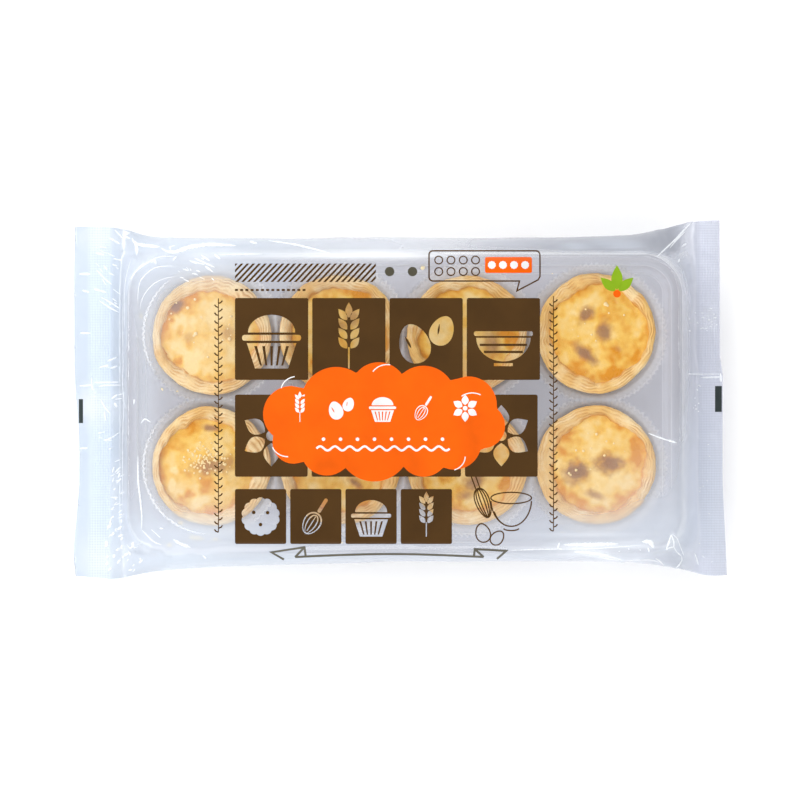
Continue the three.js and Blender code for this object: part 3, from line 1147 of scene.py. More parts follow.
def fold_highlight_list():
    """Every white strip of painted highlight on the film: its width, the places it passes through and its
    whiteness.
    """
    chance = random.Random(5)
    made = [(width, points, FOLD_HIGHLIGHT) for width, points in fold_paths(FOLDS)]
    for low, high, count, lengths, widths, lean in FOLD_CLUSTERS:
        for _ in range(count):
            x, y = (chance.uniform(start, end) for start, end in zip(low, high))
            turn, far = radians(lean + chance.gauss(0, 16)), chance.uniform(*lengths)
            end = (x + far * cos(turn), y + far * sin(turn))
            made.append((chance.uniform(*widths), [(x, y), end], FOLD_HIGHLIGHT))
    made += [(width, points, RIDGE_HIGHLIGHT) for width, points in fold_paths(RIDGES)]
    return made + [(LIP_WIDTH, lip_path(*lip), LIP_HIGHLIGHT) for lip in LIPS]


def soft_waves():
    """The film's wide, low waves, as their half width, their height and their two ends."""
    chance = random.Random(6)
    made = []
    for _ in range(9):
        y, lean = chance.uniform(-66, 66), chance.uniform(-5, 5)
        made.append((chance.uniform(1.2, 2.4), chance.uniform(0.15, 0.4), ((-124, y), (-113, y + lean))))
        y, lean = chance.uniform(-66, 66), chance.uniform(-6, 6)
        made.append((chance.uniform(1.2, 2.4), chance.uniform(0.1, 0.35), ((133, y), (115, y + lean))))
    for _ in range(18):
        x, side = chance.uniform(-115, 110), chance.choice((-1, 1))
        y, far = side * chance.uniform(62, 68), chance.uniform(8, 40)
        lean = side * chance.uniform(-3, 2)
        made.append((chance.uniform(0.9, 1.8), chance.uniform(0.1, 0.3), ((x, y), (x + far, y + lean))))
    return made


def ridge(xs, ys, points, width):
    """How high each place stands on a ridge along a path, from 0 to 1."""
    nearest = np.full(len(xs), np.inf)
    for (x0, y0), (x1, y1) in zip(points, points[1:]):
        dx, dy = x1 - x0, y1 - y0
        along = np.clip(((xs - x0) * dx + (ys - y0) * dy) / (dx * dx + dy * dy), 0, 1)
        nearest = np.minimum(nearest, np.hypot(xs - x0 - along * dx, ys - y0 - along * dy))
    return 1 / (1 + (nearest / width) ** 2) ** 1.5


# How high a fold stands for its width, and how high the waves stand, in millimetres: over all the
# film, near its edges, and at the tray's corners.
FOLD_HEIGHT = 0.3
SOFT_WAVE, SLACK_WAVE, CRUMPLE = 0.3, 0.14, 0.35


def wrap_wrinkles(places, ups):
    """How high the film's folds stand at each place, and how far its slack waves push it out."""
    xs, ys = places[:, 0] / MM, places[:, 1] / MM
    folds, waves = np.zeros(len(places)), np.zeros(len(places))
    for width, points in fold_paths(FOLDS):
        folds += FOLD_HEIGHT * width * ridge(xs, ys, points, 0.4 + 0.8 * width)
    for width, height, points in soft_waves():
        folds += height * ridge(xs, ys, points, width)
    folds *= (ups > -0.5) * (0.2 + 0.8 * eased(xs, LEFT_ROOT / MM, LEFT_ROOT / MM + 3))
    for i, (x, y, z) in enumerate(places / MM):
        middle = min(1.0, max(0.0, (63 - abs(y)) / 14)) * min(1.0, max(0.0, (112 - abs(x)) / 14))
        soft = noise.noise(Vector((x * 0.035, y * 0.05, 2.0)))
        slack = noise.noise(Vector((x * 0.06, y * 0.22, z * 0.22)))
        crumple = 1 - abs(noise.noise(Vector((x * 0.16, y * 0.2, z * 0.16 + 9)))) * 2
        ends = ease(abs(x), 100, 118) * ease(abs(y), 46, 64)
        waves[i] = SOFT_WAVE * soft + (1 - middle) * SLACK_WAVE * slack + CRUMPLE * ends * (crumple - 0.6)
    return folds * MM, waves * MM


def crimp_wave(x, wrap):
    """The ridges pressed into the seals, which run across the pack."""
    along = x - (LEFT_CRIMP if x < 0 else RIGHT_ROOT)
    if along <= 0 or along >= CRIMP_BAND:
        return 0.0
    return wrap.crimp_depth * sin(2 * pi * along / wrap.crimp_pitch)


# Soft oval patches on the film: where a patch lies and its two radii, in millimetres, its turn in
# degrees and its strength. The first list is a painted wash of pale light, which only dulls what lies
# under it; its two small patches at the back, near x 74 and 93.5, stand for pale printed ovals. The
# second list is painted highlights, which are bright.
PAINTED_WASHES = (
    (-104, 62, 50, 12, 0, 0.42), (-110, 48, 14, 20, 0, 0.2), (-109.5, 0, 6, 62, 0, 0.26),
    (-112, -62, 60, 24, 0, 0.38), (0, -60, 150, 12, 0, 0.22), (88, -56, 44, 13, 0, 0.26),
    (104, -40, 14, 22, 0, 0.2), (117, -30, 7, 30, 0, 0.12), (-60, 56, 60, 8, 0, 0.14),
    (60, -30, 26, 40, 0, 0.07), (80, 57, 44, 6, 0, 0.1), (130, -34, 12, 28, 0, 0.28),
    (-84, 28, 28, 26, 0, 0.11), (93.5, 65.8, 10, 2.2, -5, 0.3), (74, 65, 7, 1.4, 0, 0.25),
    (-84, 58, 20, 5, 0, 0.13), (-84, -57, 26, 5.5, 0, 0.16),
)
PAINTED_HIGHLIGHTS = (
    (81, -61.3, 15, 1.5, 0, 0.3), (99, -60.4, 10, 1.6, 0, 0.2), (84, -65.6, 8.5, 1.4, -14, 0.6),
    (72, -65.6, 8, 0.9, 0, 0.25), (-9, 61.4, 26, 1.7, 0, 0.9), (-43, 61.4, 30, 1.0, 0, 0.4),
    (-134.6, -2, 3.6, 6, 0, 0.7), (-128, -3, 6.5, 7, 0, 0.4), (-128, -68, 10, 9, 0, 0.5),
    (-123, -41, 2.2, 12, 0, 0.3), (-130, 70.5, 9, 5, 0, 0.5), (131.5, 36, 5, 5, 0, 0.2),
    (81, -57, 17, 1.0, 0, 0.25), (80, -64, 14, 1.2, 0, 0.3),
)


def patches_at(xs, ys, patches):
    """The strengths of all the patches added up at each place."""
    total = np.zeros(len(xs))
    for *oval, strength in patches:
        along, across = in_oval(xs, ys, *oval)
        total += strength * np.exp(-(along**2) - across**2)
    return total


# How light the haze is at places along the pack: the pressed bands of the seals are lightest.
BAND_SHADES = (
    (-135, 1.0), (-133, 1.17), (-125, 1.17), (-123.5, 0.88), (-118.5, 0.88), (-108.5, 1.0),
    (100, 1.0), (118, 0.88), (127, 0.86), (128.5, 0.96), (132, 0.93), (137, 0.86),
)


# How milky the film is at its end seals and down the front, and how strongly painted shade darkens
# it where it drops off the tray's two ends.
LEFT_SEAL_HAZE, RIGHT_SEAL_HAZE, FRONT_HAZE = 0.5, 0.55, 0.34
LEFT_DROP_SHADE, RIGHT_DROP_SHADE, MOST_HAZE = 0.6, 0.14, 0.92
# How milky the film is down the back, and how much painted shade darkens its haze there, at places
# along the pack.
BACK_HAZE = ((-110, 0.45), (-60, 0.36), (20, 0.3), (90, 0.82))
BACK_PAINTED_SHADE = ((-110, 0.12), (0, 0.04), (60, 0.42), (90, 0.5))


def film_looks(places, ups, wrap):
    """How milky the film is at each place, and its haze colour, with painted light, highlights and shade
    in it.
    """
    xs, ys = places[:, 0] / MM, places[:, 1] / MM
    left = 1 - eased(xs, LEFT_ROOT / MM - 1, LEFT_ROOT / MM + 1)
    right = eased(xs, RIGHT_ROOT / MM - 9, RIGHT_ROOT / MM)
    body = eased(xs, LEFT_ROOT / MM, LEFT_ROOT / MM + 4) * (1 - eased(xs, 114, 124))
    front = FRONT_HAZE * eased(-ys, 64, 68) * body
    back = np.interp(xs, *zip(*BACK_HAZE)) * eased(ys, 61.5, 65.5) * body
    corner = eased(np.abs(ys), 42, 56)
    full = np.array([wrap_fullness(x, y) for x, y, _ in places])
    # Painted shade: the haze turns to a darker colour where the film turns at the corners and where it
    # drops off the tray's two ends.
    corner_turn_shade = 4 * full * (1 - full) * corner * np.where(xs < 0, 0.3, 0.4)
    pulled = xs - np.array([corner_pull(y) for y in places[:, 1]]) / MM
    left_drop_shade = LEFT_DROP_SHADE * eased(xs, -121.5, -119.5) * (1 - eased(pulled, -117.5, -114.5))
    right_drop_shade = RIGHT_DROP_SHADE * eased(xs, 117, 119) * (1 - eased(xs, 124, 128)) * (1 - corner)
    painted_steep_shade = corner_turn_shade + left_drop_shade * (1 - 0.6 * eased(np.abs(ys), 57, 65)) + right_drop_shade
    milky = wrap.haze + LEFT_SEAL_HAZE * left + RIGHT_SEAL_HAZE * right + front + back
    over = ups > -0.9
    # Painted washes of pale light, laid over the haze as soft patches.
    painted_wash = patches_at(xs, ys, PAINTED_WASHES) * over
    # Painted highlights, laid over the haze as soft bright patches.
    painted_highlight = patches_at(xs, ys, PAINTED_HIGHLIGHTS) * over
    # Painted shade down the back, strongest towards the right end.
    painted_back_shade = np.interp(xs, *zip(*BACK_PAINTED_SHADE)) * eased(ys, 60, 64) * body
    shade = np.interp(xs, *zip(*BAND_SHADES)) * (1 - painted_back_shade)
    share = np.interp(xs, (-108.5, 112), (0, 1))[:, None]
    tone = blend(np.array(wrap.tint), np.array(wrap.tint_end), share) * shade[:, None]
    weights = np.stack((milky, painted_wash, painted_highlight, painted_steep_shade), axis=1)
    plain_tones = [np.tile(each, (len(xs), 1)) for each in (wrap.painted_wash_tone, wrap.painted_highlight, wrap.painted_steep_shade)]
    tones = np.stack((tone, *plain_tones), axis=1)
    mixed = (weights[:, :, None] * tones).sum(axis=1) / weights.sum(axis=1)[:, None]
    return np.minimum(MOST_HAZE, weights.sum(axis=1)), mixed


def film_slack(x, y):
    """How loose and finely crinkled the film is: least over the print."""
    along = ease(abs(x), 100 * MM, 122 * MM)
    across = ease(abs(y), 60 * MM, 67 * MM)
    return 0.06 + 0.4 * max(along, across)


def make_wrap():
    wrap = settings().wrap
    stations, loop = wrap_stations(), section_loop()
    bm = bmesh.new()
    across_cells, along_cells = len(loop), len(stations) - 1
    bmesh.ops.create_grid(bm, x_segments=along_cells, y_segments=across_cells, size=1.0)
    haze, seal, slack, ups = float_layers(bm, "haze", "seal", "slack", "up")
    tone = bm.verts.layers.float_vector.new("tone")
    for vert in bm.verts:
        i = round((vert.co.x + 1) / 2 * along_cells)
        j = round((vert.co.y + 1) / 2 * across_cells) % len(loop)
        x, (across, up) = stations[i], loop[j]
        at_end = i in (0, along_cells)
        vert.co = wrap_point(x, across, 0.0 if at_end else up, wrap)
        pressed = ease(x, LEFT_CRIMP - 1 * MM, LEFT_CRIMP + 2 * MM)
        pressed *= 1 - ease(x, LEFT_CRIMP + CRIMP_BAND - 2 * MM, LEFT_CRIMP + CRIMP_BAND)
        vert[seal] = pressed + ease(x, RIGHT_ROOT - 2 * MM, RIGHT_ROOT + 3 * MM)
        vert[slack] = film_slack(vert.co.x, vert.co.y)
        vert[ups] = up
    bmesh.ops.remove_doubles(bm, verts=bm.verts, dist=0.005 * MM)
    bmesh.ops.recalc_face_normals(bm, faces=bm.faces)
    bm.normal_update()
    places = np.array([vert.co[:] for vert in bm.verts])
    heights = np.array([vert[ups] for vert in bm.verts])
    for vert, milky, shade in zip(bm.verts, *film_looks(places, heights, wrap)):
        vert[haze], vert[tone] = float(milky), Vector(shade)
    for vert, fold, wave in zip(bm.verts, *wrap_wrinkles(places, heights)):
        full = wrap_fullness(vert.co.x, vert.co.y)
        parted = ease(full, 0.0, 0.1)
        if vert[ups] < -0.9:
            vert.co.z += 0.5 * float(wave) * (1 - parted)
        else:
            outward = vert.normal if full > 0.02 else Vector((0, 0, 1))
            lift = max(wave, 0.0) if full < 0.4 else wave
            rise = float(blend(0.5 * wave, lift, parted) + blend(0.8, 1.0, full) * fold)
            vert.co += outward * (rise * wrap.wrinkle)
        if full <= 0.02:
            vert.co.z += crimp_wave(vert.co.x, wrap)
        vert.co.z = max(vert.co.z, BASE_LIFT)
    piece = add_piece("film_wrap", bm, material_named("clear_film", film_material))
    piece.visible_shadow = False
    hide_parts(NODE)


FOLD_THICKNESS = 0.03 * MM
FOLD_LIFT = 0.05


def fold_rows(width, points, film, chance):
    """Rows of three places across a narrow ridge, or none if part of it misses the film."""
    path = curved_path([(x, y, 0) for x, y in points], 0.5)
    rows = []
    for i, point in enumerate(path):
        ahead = path[min(i + 1, len(path) - 1)] - path[max(i - 1, 0)]
        aside = Vector((-ahead.y, ahead.x, 0)).normalized()
        taper = 1.05 - abs(2 * i / (len(path) - 1) - 1) ** 3
        half = width / 2 * taper * chance.uniform(0.7, 1.2)
        for side, lift in ((-1, FOLD_LIFT), (0, FOLD_LIFT + 0.35 * half), (1, FOLD_LIFT)):
            x, y, _ = (point + aside * side * half) * MM
            below, _ = drop_onto(film, x, y)
            if below is None:
                return []
            rows.append((x, y, below.z + lift * MM))
    return [rows[i : i + 3] for i in range(0, len(rows), 3)]


def make_fold_highlights():
    """Thin white strips of painted highlight, laid on the film along its folds, the tray's ridges and the
    cups' lips.
    """
    chance = random.Random(8)
    film = surface_of("film_wrap")
    bm = bmesh.new()
    (press,) = float_layers(bm, "press")
    for width, points, white in fold_highlight_list():
        rows = [[bm.verts.new(p) for p in row] for row in fold_rows(width, points, film, chance)]
        for vert in (vert for row in rows for vert in row):
            vert[press] = white
        for near, far in zip(rows, rows[1:]):
            for side in (0, 1):
                bm.faces.new((near[side], far[side], far[side + 1], near[side + 1]))
    face_up(bm)
    piece = add_piece("film_folds", bm, material_named("pressed_fold", fold_highlight_material))
    piece.visible_shadow = False
    thicken(piece, FOLD_THICKNESS)


# ---------------- the print, in millimetres


def arc(cx, cy, rx, ry, start, end, steps=12):
    angles = [radians(blend(start, end, i / steps)) for i in range(steps + 1)]
    return [(cx + rx * cos(a), cy + ry * sin(a)) for a in angles]


def box(x0, y0, x1, y1, radius=0.0):
    """A rectangle, with round corners if it has a radius."""
    if not radius:
        return [(x0, y0), (x1, y0), (x1, y1), (x0, y1)]
    right, left, high, low = x1 - radius, x0 + radius, y1 - radius, y0 + radius
    corners = ((right, high), (left, high), (left, low), (right, low))
    turns = enumerate(corners)
    return [p for i, (x, y) in turns for p in arc(x, y, radius, radius, 90 * i, 90 * i + 90, 6)]


def placed(points, x, y, scale=1.0, turn=0.0):
    """A shape drawn round 0, 0, made larger, turned and set down somewhere."""
    cosine, sine = cos(radians(turn)), sin(radians(turn))
    return [
        (x + scale * (px * cosine - py * sine), y + scale * (px * sine + py * cosine))
        for px, py in points
    ]


def dot(x, y, width):
    return arc(x, y, width / 2, width / 2, 0, 351, 39)


def egg(width=0.76, height=1.0):
    narrow = 0.16
    around = [(cos(radians(a)), sin(radians(a))) for a in range(0, 360, 9)]
    return [(width / 2 * c * (1 - narrow * s), height / 2 * s) for c, s in around]


def petal(size=1.0, width=0.45, base=0.0):
    """A leaf that grows upwards from 0, base."""
    steps = [i / 12 for i in range(13)]
    side = [(width / 2 * sin(pi * t**0.85), base + size * t) for t in steps]
    return side + [(-x, y) for x, y in side[-2:0:-1]]


def puffs(circles, steps=240):
    """The outline round overlapping circles, each given as x, y and radius round 0, 0."""
    points = []
    for i in range(steps):
        a = 2 * pi * i / steps
        c, s = cos(a), sin(a)
        reach = 0.0
        for x, y, radius in circles:
            along, aside = x * c + y * s, y * c - x * s
            if abs(aside) < radius:
                reach = max(reach, along + sqrt(radius**2 - aside**2))
        points.append((reach * c, reach * s))
    return points


def scalloped(radius, lobes, depth):
    """A round shape with a scalloped edge."""
    angles = [radians(2 * i) for i in range(180)]
    reaches = [radius * (1 - depth + depth * abs(sin(lobes * a / 2)) ** 0.8) for a in angles]
    return [(reach * cos(a), reach * sin(a)) for reach, a in zip(reaches, angles)]


def motif_tart():
    """A small tart from the side: a dome of custard, a rim and a fluted case."""
    case = [(-0.42, -0.07), (0.42, -0.07), (0.28, -0.5), (-0.28, -0.5)]
    corners = (0.135, -0.024, -0.12), (0.135, 0.024, -0.12), (0.09, 0.017, -0.45), (0.09, -0.017, -0.45)
    flutes = [[(pitch * i + aside, y) for pitch, aside, y in corners] for i in (-2, -1, 0, 1, 2)]
    return [arc(0, 0.11, 0.4, 0.3, 0, 180, 20), box(-0.5, -0.03, 0.5, 0.07, 0.045), case, *flutes]


def motif_wheat():
    grains = [placed(petal(0.24, 0.12), 0.03 * side, -0.16 + 0.16 * i, 1, -38 * side)
              for i in range(4) for side in (-1, 1)]
    return [box(-0.014, -0.5, 0.014, -0.14), petal(0.26, 0.12, 0.36), *grains]


def motif_eggs():
    shine = petal(0.4, 0.07)
    return [
        placed(egg(), -0.2, -0.08, 0.68, 18),
        placed(shine, -0.25, -0.16, 0.6, 28),
        placed(egg(), 0.27, 0.14, 0.52, -24),
        placed(shine, 0.2, 0.07, 0.48, -8),
    ]


def motif_whisk():
    """Nested ovals for the wires, and a rounded handle."""
    sizes = (0.44, 0.6), (0.38, 0.54), (0.25, 0.52), (0.19, 0.48)
    wires = [placed(egg(*size), 0, -0.2 - 0.01 * i, 1, 180) for i, size in enumerate(sizes)]
    shape = [box(-0.045, 0.12, 0.045, 0.52, 0.04), *wires, box(-0.012, -0.42, 0.012, 0.0)]
    return [placed(points, 0, 0, 1, -32) for points in shape]


def motif_bowl():
    bands = [box(-0.4 + 0.07 * i, -0.12 - 0.12 * i, 0.4 - 0.07 * i, -0.08 - 0.12 * i) for i in range(2)]
    bowl = arc(0, 0.02, 0.46, 0.4, 180, 360, 24)
    return [box(-0.5, 0.05, 0.5, 0.13, 0.035), bowl, box(-0.16, -0.46, 0.16, -0.41), *bands]


def motif_flower():
    petals = [placed(petal(0.38, 0.26, 0.12), 0, 0, 1, 60 * i) for i in range(6)]
    return [dot(0, 0, 0.17), *petals]


def motif_biscuit():
    holes = [dot(0.2 * cos(a), 0.2 * sin(a), 0.09) for a in (0.5, 2.6, 4.7)]
    return [scalloped(0.48, 14, 0.08), *holes]


TILE_GAP = 1.7


def tile_row(x0, y0, x1, y1, size, *motifs):
    """A row of solid blocks of print, each with a motif left clear in it."""
    width = (x1 - x0 + TILE_GAP) / len(motifs)
    loops = []
    for i, motif in enumerate(motifs):
        left, right = x0 + i * width, x0 + (i + 1) * width - TILE_GAP
        loops.append(box(left, y0, right, y1, 0.8))
        loops += [placed(loop, (left + right) / 2, (y0 + y1) / 2, size) for loop in motif()]
    return loops


def fill_loops(bm, loops):
    """Fills closed outlines with faces. One inside another is a hole, and one in a hole is filled."""
    curve = bpy.data.curves.new("outlines", "CURVE")
    curve.dimensions = "2D"
    curve.fill_mode = "BOTH"
    for loop in loops:
        spline = curve.splines.new("POLY")
        spline.points.add(len(loop) - 1)
        for point, (x, y) in zip(spline.points, loop):
            point.co = (x, y, 0, 1)
        spline.use_cyclic_u = True
    drawing = bpy.data.objects.new("outlines", curve)
    mesh = bpy.data.meshes.new_from_object(drawing)
    bm.from_mesh(mesh)
    bpy.data.objects.remove(drawing)
    bpy.data.curves.remove(curve)
    bpy.data.meshes.remove(mesh)


def stroke(bm, points, width, closed=False):
    """A flat line of even width along a path."""
    path = [Vector(point) for point in points]
    sides = []
    for i, point in enumerate(path):
        before = path[i - 1] if i or closed else None
        after = path[(i + 1) % len(path)] if i + 1 < len(path) or closed else None
        arriving = (point - before).normalized() if before else (after - point).normalized()
        leaving = (after - point).normalized() if after else arriving
        middle = arriving + leaving
        middle = middle.normalized() if middle.length > 0.1 else arriving
        wider = 1 / max(0.4, middle.dot(arriving))
        sides.append(Vector((-middle.y, middle.x, 0)) * (width / 2 * wider))
    first = [bm.verts.new(point.to_3d() - side) for point, side in zip(path, sides)]
    pairs = list(zip(first, first[1:])) + ([(first[-1], first[0])] if closed else [])
    edges = [bm.edges.new(pair) for pair in pairs]
    extruded = bmesh.ops.extrude_edge_only(bm, edges=edges)["geom"]
    mates = {tuple(v.co): v for v in extruded if isinstance(v, bmesh.types.BMVert)}
    for vert, side in zip(first, sides):
        mates[tuple(vert.co)].co += side * 2


def cut_to_grid(bm, step):
    """Cuts flat print into cells, so that it can follow the film."""
    for axis in (0, 1):
        places = [vert.co[axis] for vert in bm.verts]
        count = int((max(places) - min(places)) / step)
        normal = Vector((1 - axis, axis, 0))
        for i in range(1, count + 1):
            spot = normal * (min(places) + i * step)
            everything = bm.verts[:] + bm.edges[:] + bm.faces[:]
            bmesh.ops.bisect_plane(bm, geom=everything, plane_co=spot, plane_no=normal, dist=1e-5)


def trim(bm, left, right):
    """Cuts off what lies beyond two places along the pack."""
    for place, away in ((left, -1), (right, 1)):
        cut = {"plane_co": (place, 0, 0), "plane_no": (away, 0, 0), "clear_outer": True}
        bmesh.ops.bisect_plane(bm, geom=bm.verts[:] + bm.edges[:] + bm.faces[:], **cut)


PRINT_THICKNESS = 0.04 * MM


def lay_print(name, ink, above, step=1.2, fills=(), lines=(), ends=None):
    """Draws in millimetres, and lays the drawing on the film, just above what it's printed over.

    Each of the fills is a group of outlines. Each of the lines is a path, its width and, if it's
    closed, True. The ends are two places along the pack that the drawing stops at.
    """
    bm = bmesh.new()
    for loops in fills:
        fill_loops(bm, loops)
    for line in lines:
        stroke(bm, *line)
    if ends:
        trim(bm, *ends)
    cut_to_grid(bm, step)
    bmesh.ops.scale(bm, verts=bm.verts, vec=(MM, MM, MM))
    film = surface_of("film_wrap")
    for vert in bm.verts:
        point, _ = drop_onto(film, vert.co.x, vert.co.y)
        vert.co.z = point.z + above * MM
    bmesh.ops.dissolve_degenerate(bm, edges=bm.edges, dist=0.002 * MM)
    face_up(bm)
    for edge in bm.edges:
        edge.smooth = not edge.is_boundary
    material = material_named(ink, lambda printed: ink_material(printed, getattr(settings().ink, ink)))
    piece = add_piece(name, bm, material)
    piece.visible_shadow = False
    thicken(piece, PRINT_THICKNESS)


LEFT, RIGHT = -70.5, 58.7
HATCHING_RIGHT = -10.8
CLOUD = (
    (-39, 3, 12), (-38, -9, 9), (-24, -12, 11), (-4, -10, 15.5), (17, -13, 10.5), (30, -9, 11.5),
    (42, -2, 9.5), (36, 7, 12), (17, 10, 13.5), (-2, 13, 12), (-20, 8, 15), (0, 0, 18),
)
SPRIG_X = 91.3
MARKS = {"mark_left": (-138.4, -9.9, -136.6, 0.4), "mark_right": (134.4, -5.1, 137.3, 6)}


def hatching():
    """A bar's slanting stripes. The first and the last run past its ends."""
    low, high, pitch, wide, lean = 50.0, 57.8, 2.48, 1.15, 7.3
    count = int((HATCHING_RIGHT - LEFT + lean) / pitch) + 1
    starts = [LEFT - lean + i * pitch for i in range(count)]
    return [[(x, low), (x + wide, low), (x + wide + lean, high), (x + lean, high)] for x in starts]


def leafy_line(x, low, high):
    """A thin upright stalk with small leaves by turns on each side."""
    width, pitch = 0.38, 1.7
    lines = [([(x, low), (x, high)], width)]
    for i in range(int((high - low) / pitch)):
        side = 1 if i % 2 else -1
        y = low + i * pitch
        lines.append(([(x, y), (x + side * 1.0, y + 0.35), (x + side * 1.7, y + 1.2)], width * 1.5))
    return lines


def speech_bubble():
    """A box with three round corners, whose fourth runs out into a point."""
    bubble = [(13.4, 50.4), (50.0, 50.4), (48.9, 46.2), (57.9, 50.9), (58.7, 52.3)]
    for x, y, start, end in ((57.0, 61.6, 0, 90), (13.4, 61.6, 90, 180), (13.4, 52.1, 180, 264)):
        bubble += arc(x, y, 1.7, 1.7, start, end, 6)
    return bubble


def cloud_marks():
    """The white shapes on the cloud and on the label, and the cloud's white lines."""
    motifs = motif_wheat, motif_eggs, motif_tart, motif_whisk, motif_flower
    middles = [-43 + 17.5 * i for i in range(5)]
    fills = [[placed(loop, x, -3.5, 11.5) for loop in motif()] for x, motif in zip(middles, motifs)]
    fills += [[dot(-33 + 7.2 * i, -16.6, 1.5)] for i in range(8)]
    fills += [[placed(scalloped(0.5, 10, 0.12), 38.3 + 4.7 * i, 57.2, 3.4)] for i in range(4)]
    lines = [([(-36 + 0.6 * i, -20.5 + 0.9 * sin(i * 0.6)) for i in range(95)], 0.9)]
    for start, x, y in ((100, -44, 4), (60, 30, -3), (200, -48, -18), (290, 20, -24), (80, -6, 9)):
        lines.append((arc(x, y, 7, 6, start, start + 70, 14), 0.45))
    return fills, lines


def kitchen_drawing(width):
    """A bowl, a whisk and two eggs in outline."""
    bowl = [
        (arc(46.5, -41.5, 8.6, 2.4, 0, 351, 39), width, True),
        (arc(46.5, -42, 8.6, 11.5, 184, 356, 30), width),
        (arc(46.5, -54.4, 3.2, 0.9, 180, 360, 12), width),
        (arc(46.5, -44, 7.6, 9.5, 200, 250, 12), width),
    ]
    whisk = [placed(egg(wide, 1), 34.6, -43.6, 13, 200) for wide in (0.12, 0.3, 0.46)]
    handle = placed(box(-0.9, 6, 0.9, 14, 0.8), 34.6, -43.6, 1, 20)
    eggs = placed(egg(), 34.5, -56.3, 8, 15), placed(egg(), 40.6, -58.4, 6.6, -40)
    return bowl + [(path, width, True) for path in (*whisk, handle, *eggs)]


def ribbon_paths():
    """A ribbon with folded ends, whose lower edge passes over the front of the pack."""
    middle = [(-45.1 + 4.0 * i, -66.7 + 1.3 * sin(pi * i / 20)) for i in range(21)]
    left = [(-49.9, -67.8), (-55.1, -64.6), (-41.1, -62.4), (-40.6, -66.4)]
    right = [(40.6, -67.6), (44.4, -64.0), (31.1, -63.2), (30.8, -66.4)]
    folds = [(-45.1, -66.7), (-41.1, -62.4)], [(34.9, -66.7), (31.1, -63.2)]
    return [middle, left, right, *folds]


def make_print():
    fine = settings().ink.line / MM
    blocks = [
        tile_row(LEFT, 8.5, RIGHT, 43.2, 25, motif_tart, motif_wheat, motif_eggs, motif_bowl),
        tile_row(LEFT, -32.5, RIGHT - 1, 2.3, 26, motif_flower, motif_eggs, motif_tart, motif_flower),
        tile_row(LEFT, -61, 21.4, -37.7, 17, motif_biscuit, motif_whisk, motif_tart, motif_wheat),
    ]
    lay_print("print_blocks", "brown", 0.12, fills=blocks)
    lay_print("print_hatching", "brown", 0.14, 0.8, [hatching()], ends=(LEFT, HATCHING_RIGHT))
    lay_print("print_dots", "grey", 0.14, 0.8, [[dot(-5.0, 54.4, 4.0), dot(4.7, 54.4, 4.0)]])
    cloud, label = placed(puffs(CLOUD), -7.6, -9.0), box(35.4, 53.8, 55.3, 60.6, 0.8)
    lay_print("print_cloud", "orange", 0.22, fills=[[cloud], [label]])
    fills, lines = cloud_marks()
    lay_print("print_white", "white", 0.3, fills=fills, lines=lines)

    lines = [(speech_bubble(), fine, True)]
    for i in range(8):
        lines.append((dot(15.8 + 5.2 * (i % 4), 54.4 + 4.9 * (i // 4), 3.3), fine * 0.85, True))
    for i in range(14):
        lines.append(([(LEFT + 2.2 * i, 46.6), (LEFT + 2.2 * i + 1.3, 46.6)], 0.9))
    lines += leafy_line(-77.5, -56, 43) + leafy_line(64.4, -55.5, 44) + kitchen_drawing(fine * 0.9)
    lay_print("print_lines", "brown", 0.16, 0.8, lines=lines)
    lay_print("print_ribbon", "grey", 0.2, 0.7, lines=[(path, 0.9) for path in ribbon_paths()])

    leaf, turns = petal(1, 0.46, 0.1), ((-48, 8.5), (0, 10.5), (48, 8.5))
    leaves = [[placed(leaf, SPRIG_X, 45.6, size, turn)] for turn, size in turns]
    lay_print("print_leaves", "green", 0.14, fills=leaves)
    lay_print("print_berry", "orange", 0.22, fills=[[dot(SPRIG_X, 45.0, 3.2)]])


def make_marks():
    """The dark marks printed at the edge of each end seal."""
    for name, corners in MARKS.items():
        lay_print(name, "slate", 0.05, 0.4, [[box(*corners)]])


# ---------------- the stage


# The lamps: where each hangs and its two sides, in metres, and its power in watts.
SOFTBOXES = {
    "box_left": ((-0.66, 0.34, 0.74), (0.8, 0.4), 4.5),
    "box_right": ((0.7, 0.4, 1.05), (0.8, 0.3), 1.9),
    "box_front": ((0.1, -0.95, 0.7), (1.4, 0.4), 2.8),
    "box_back": ((-0.1, 1.0, 0.8), (1.2, 0.3), 1.2),
    "box_corner": ((-0.6, -0.55, 0.8), (0.6, 0.3), 1.8),
}
LIT_PLACE = Vector((0, 0, 0.01))


def add_softbox(name, place, size, power):
    lamp = bpy.data.lights.new(name, "AREA")
    lamp.shape = "RECTANGLE"
    lamp.size, lamp.size_y = size
    lamp.energy = power
    light = bpy.data.objects.new(name, lamp)
    light.location = place
    light.rotation_euler = (LIT_PLACE - light.location).to_track_quat("-Z", "Y").to_euler()
    light.visible_camera = False
    bpy.context.scene.collection.objects.link(light)


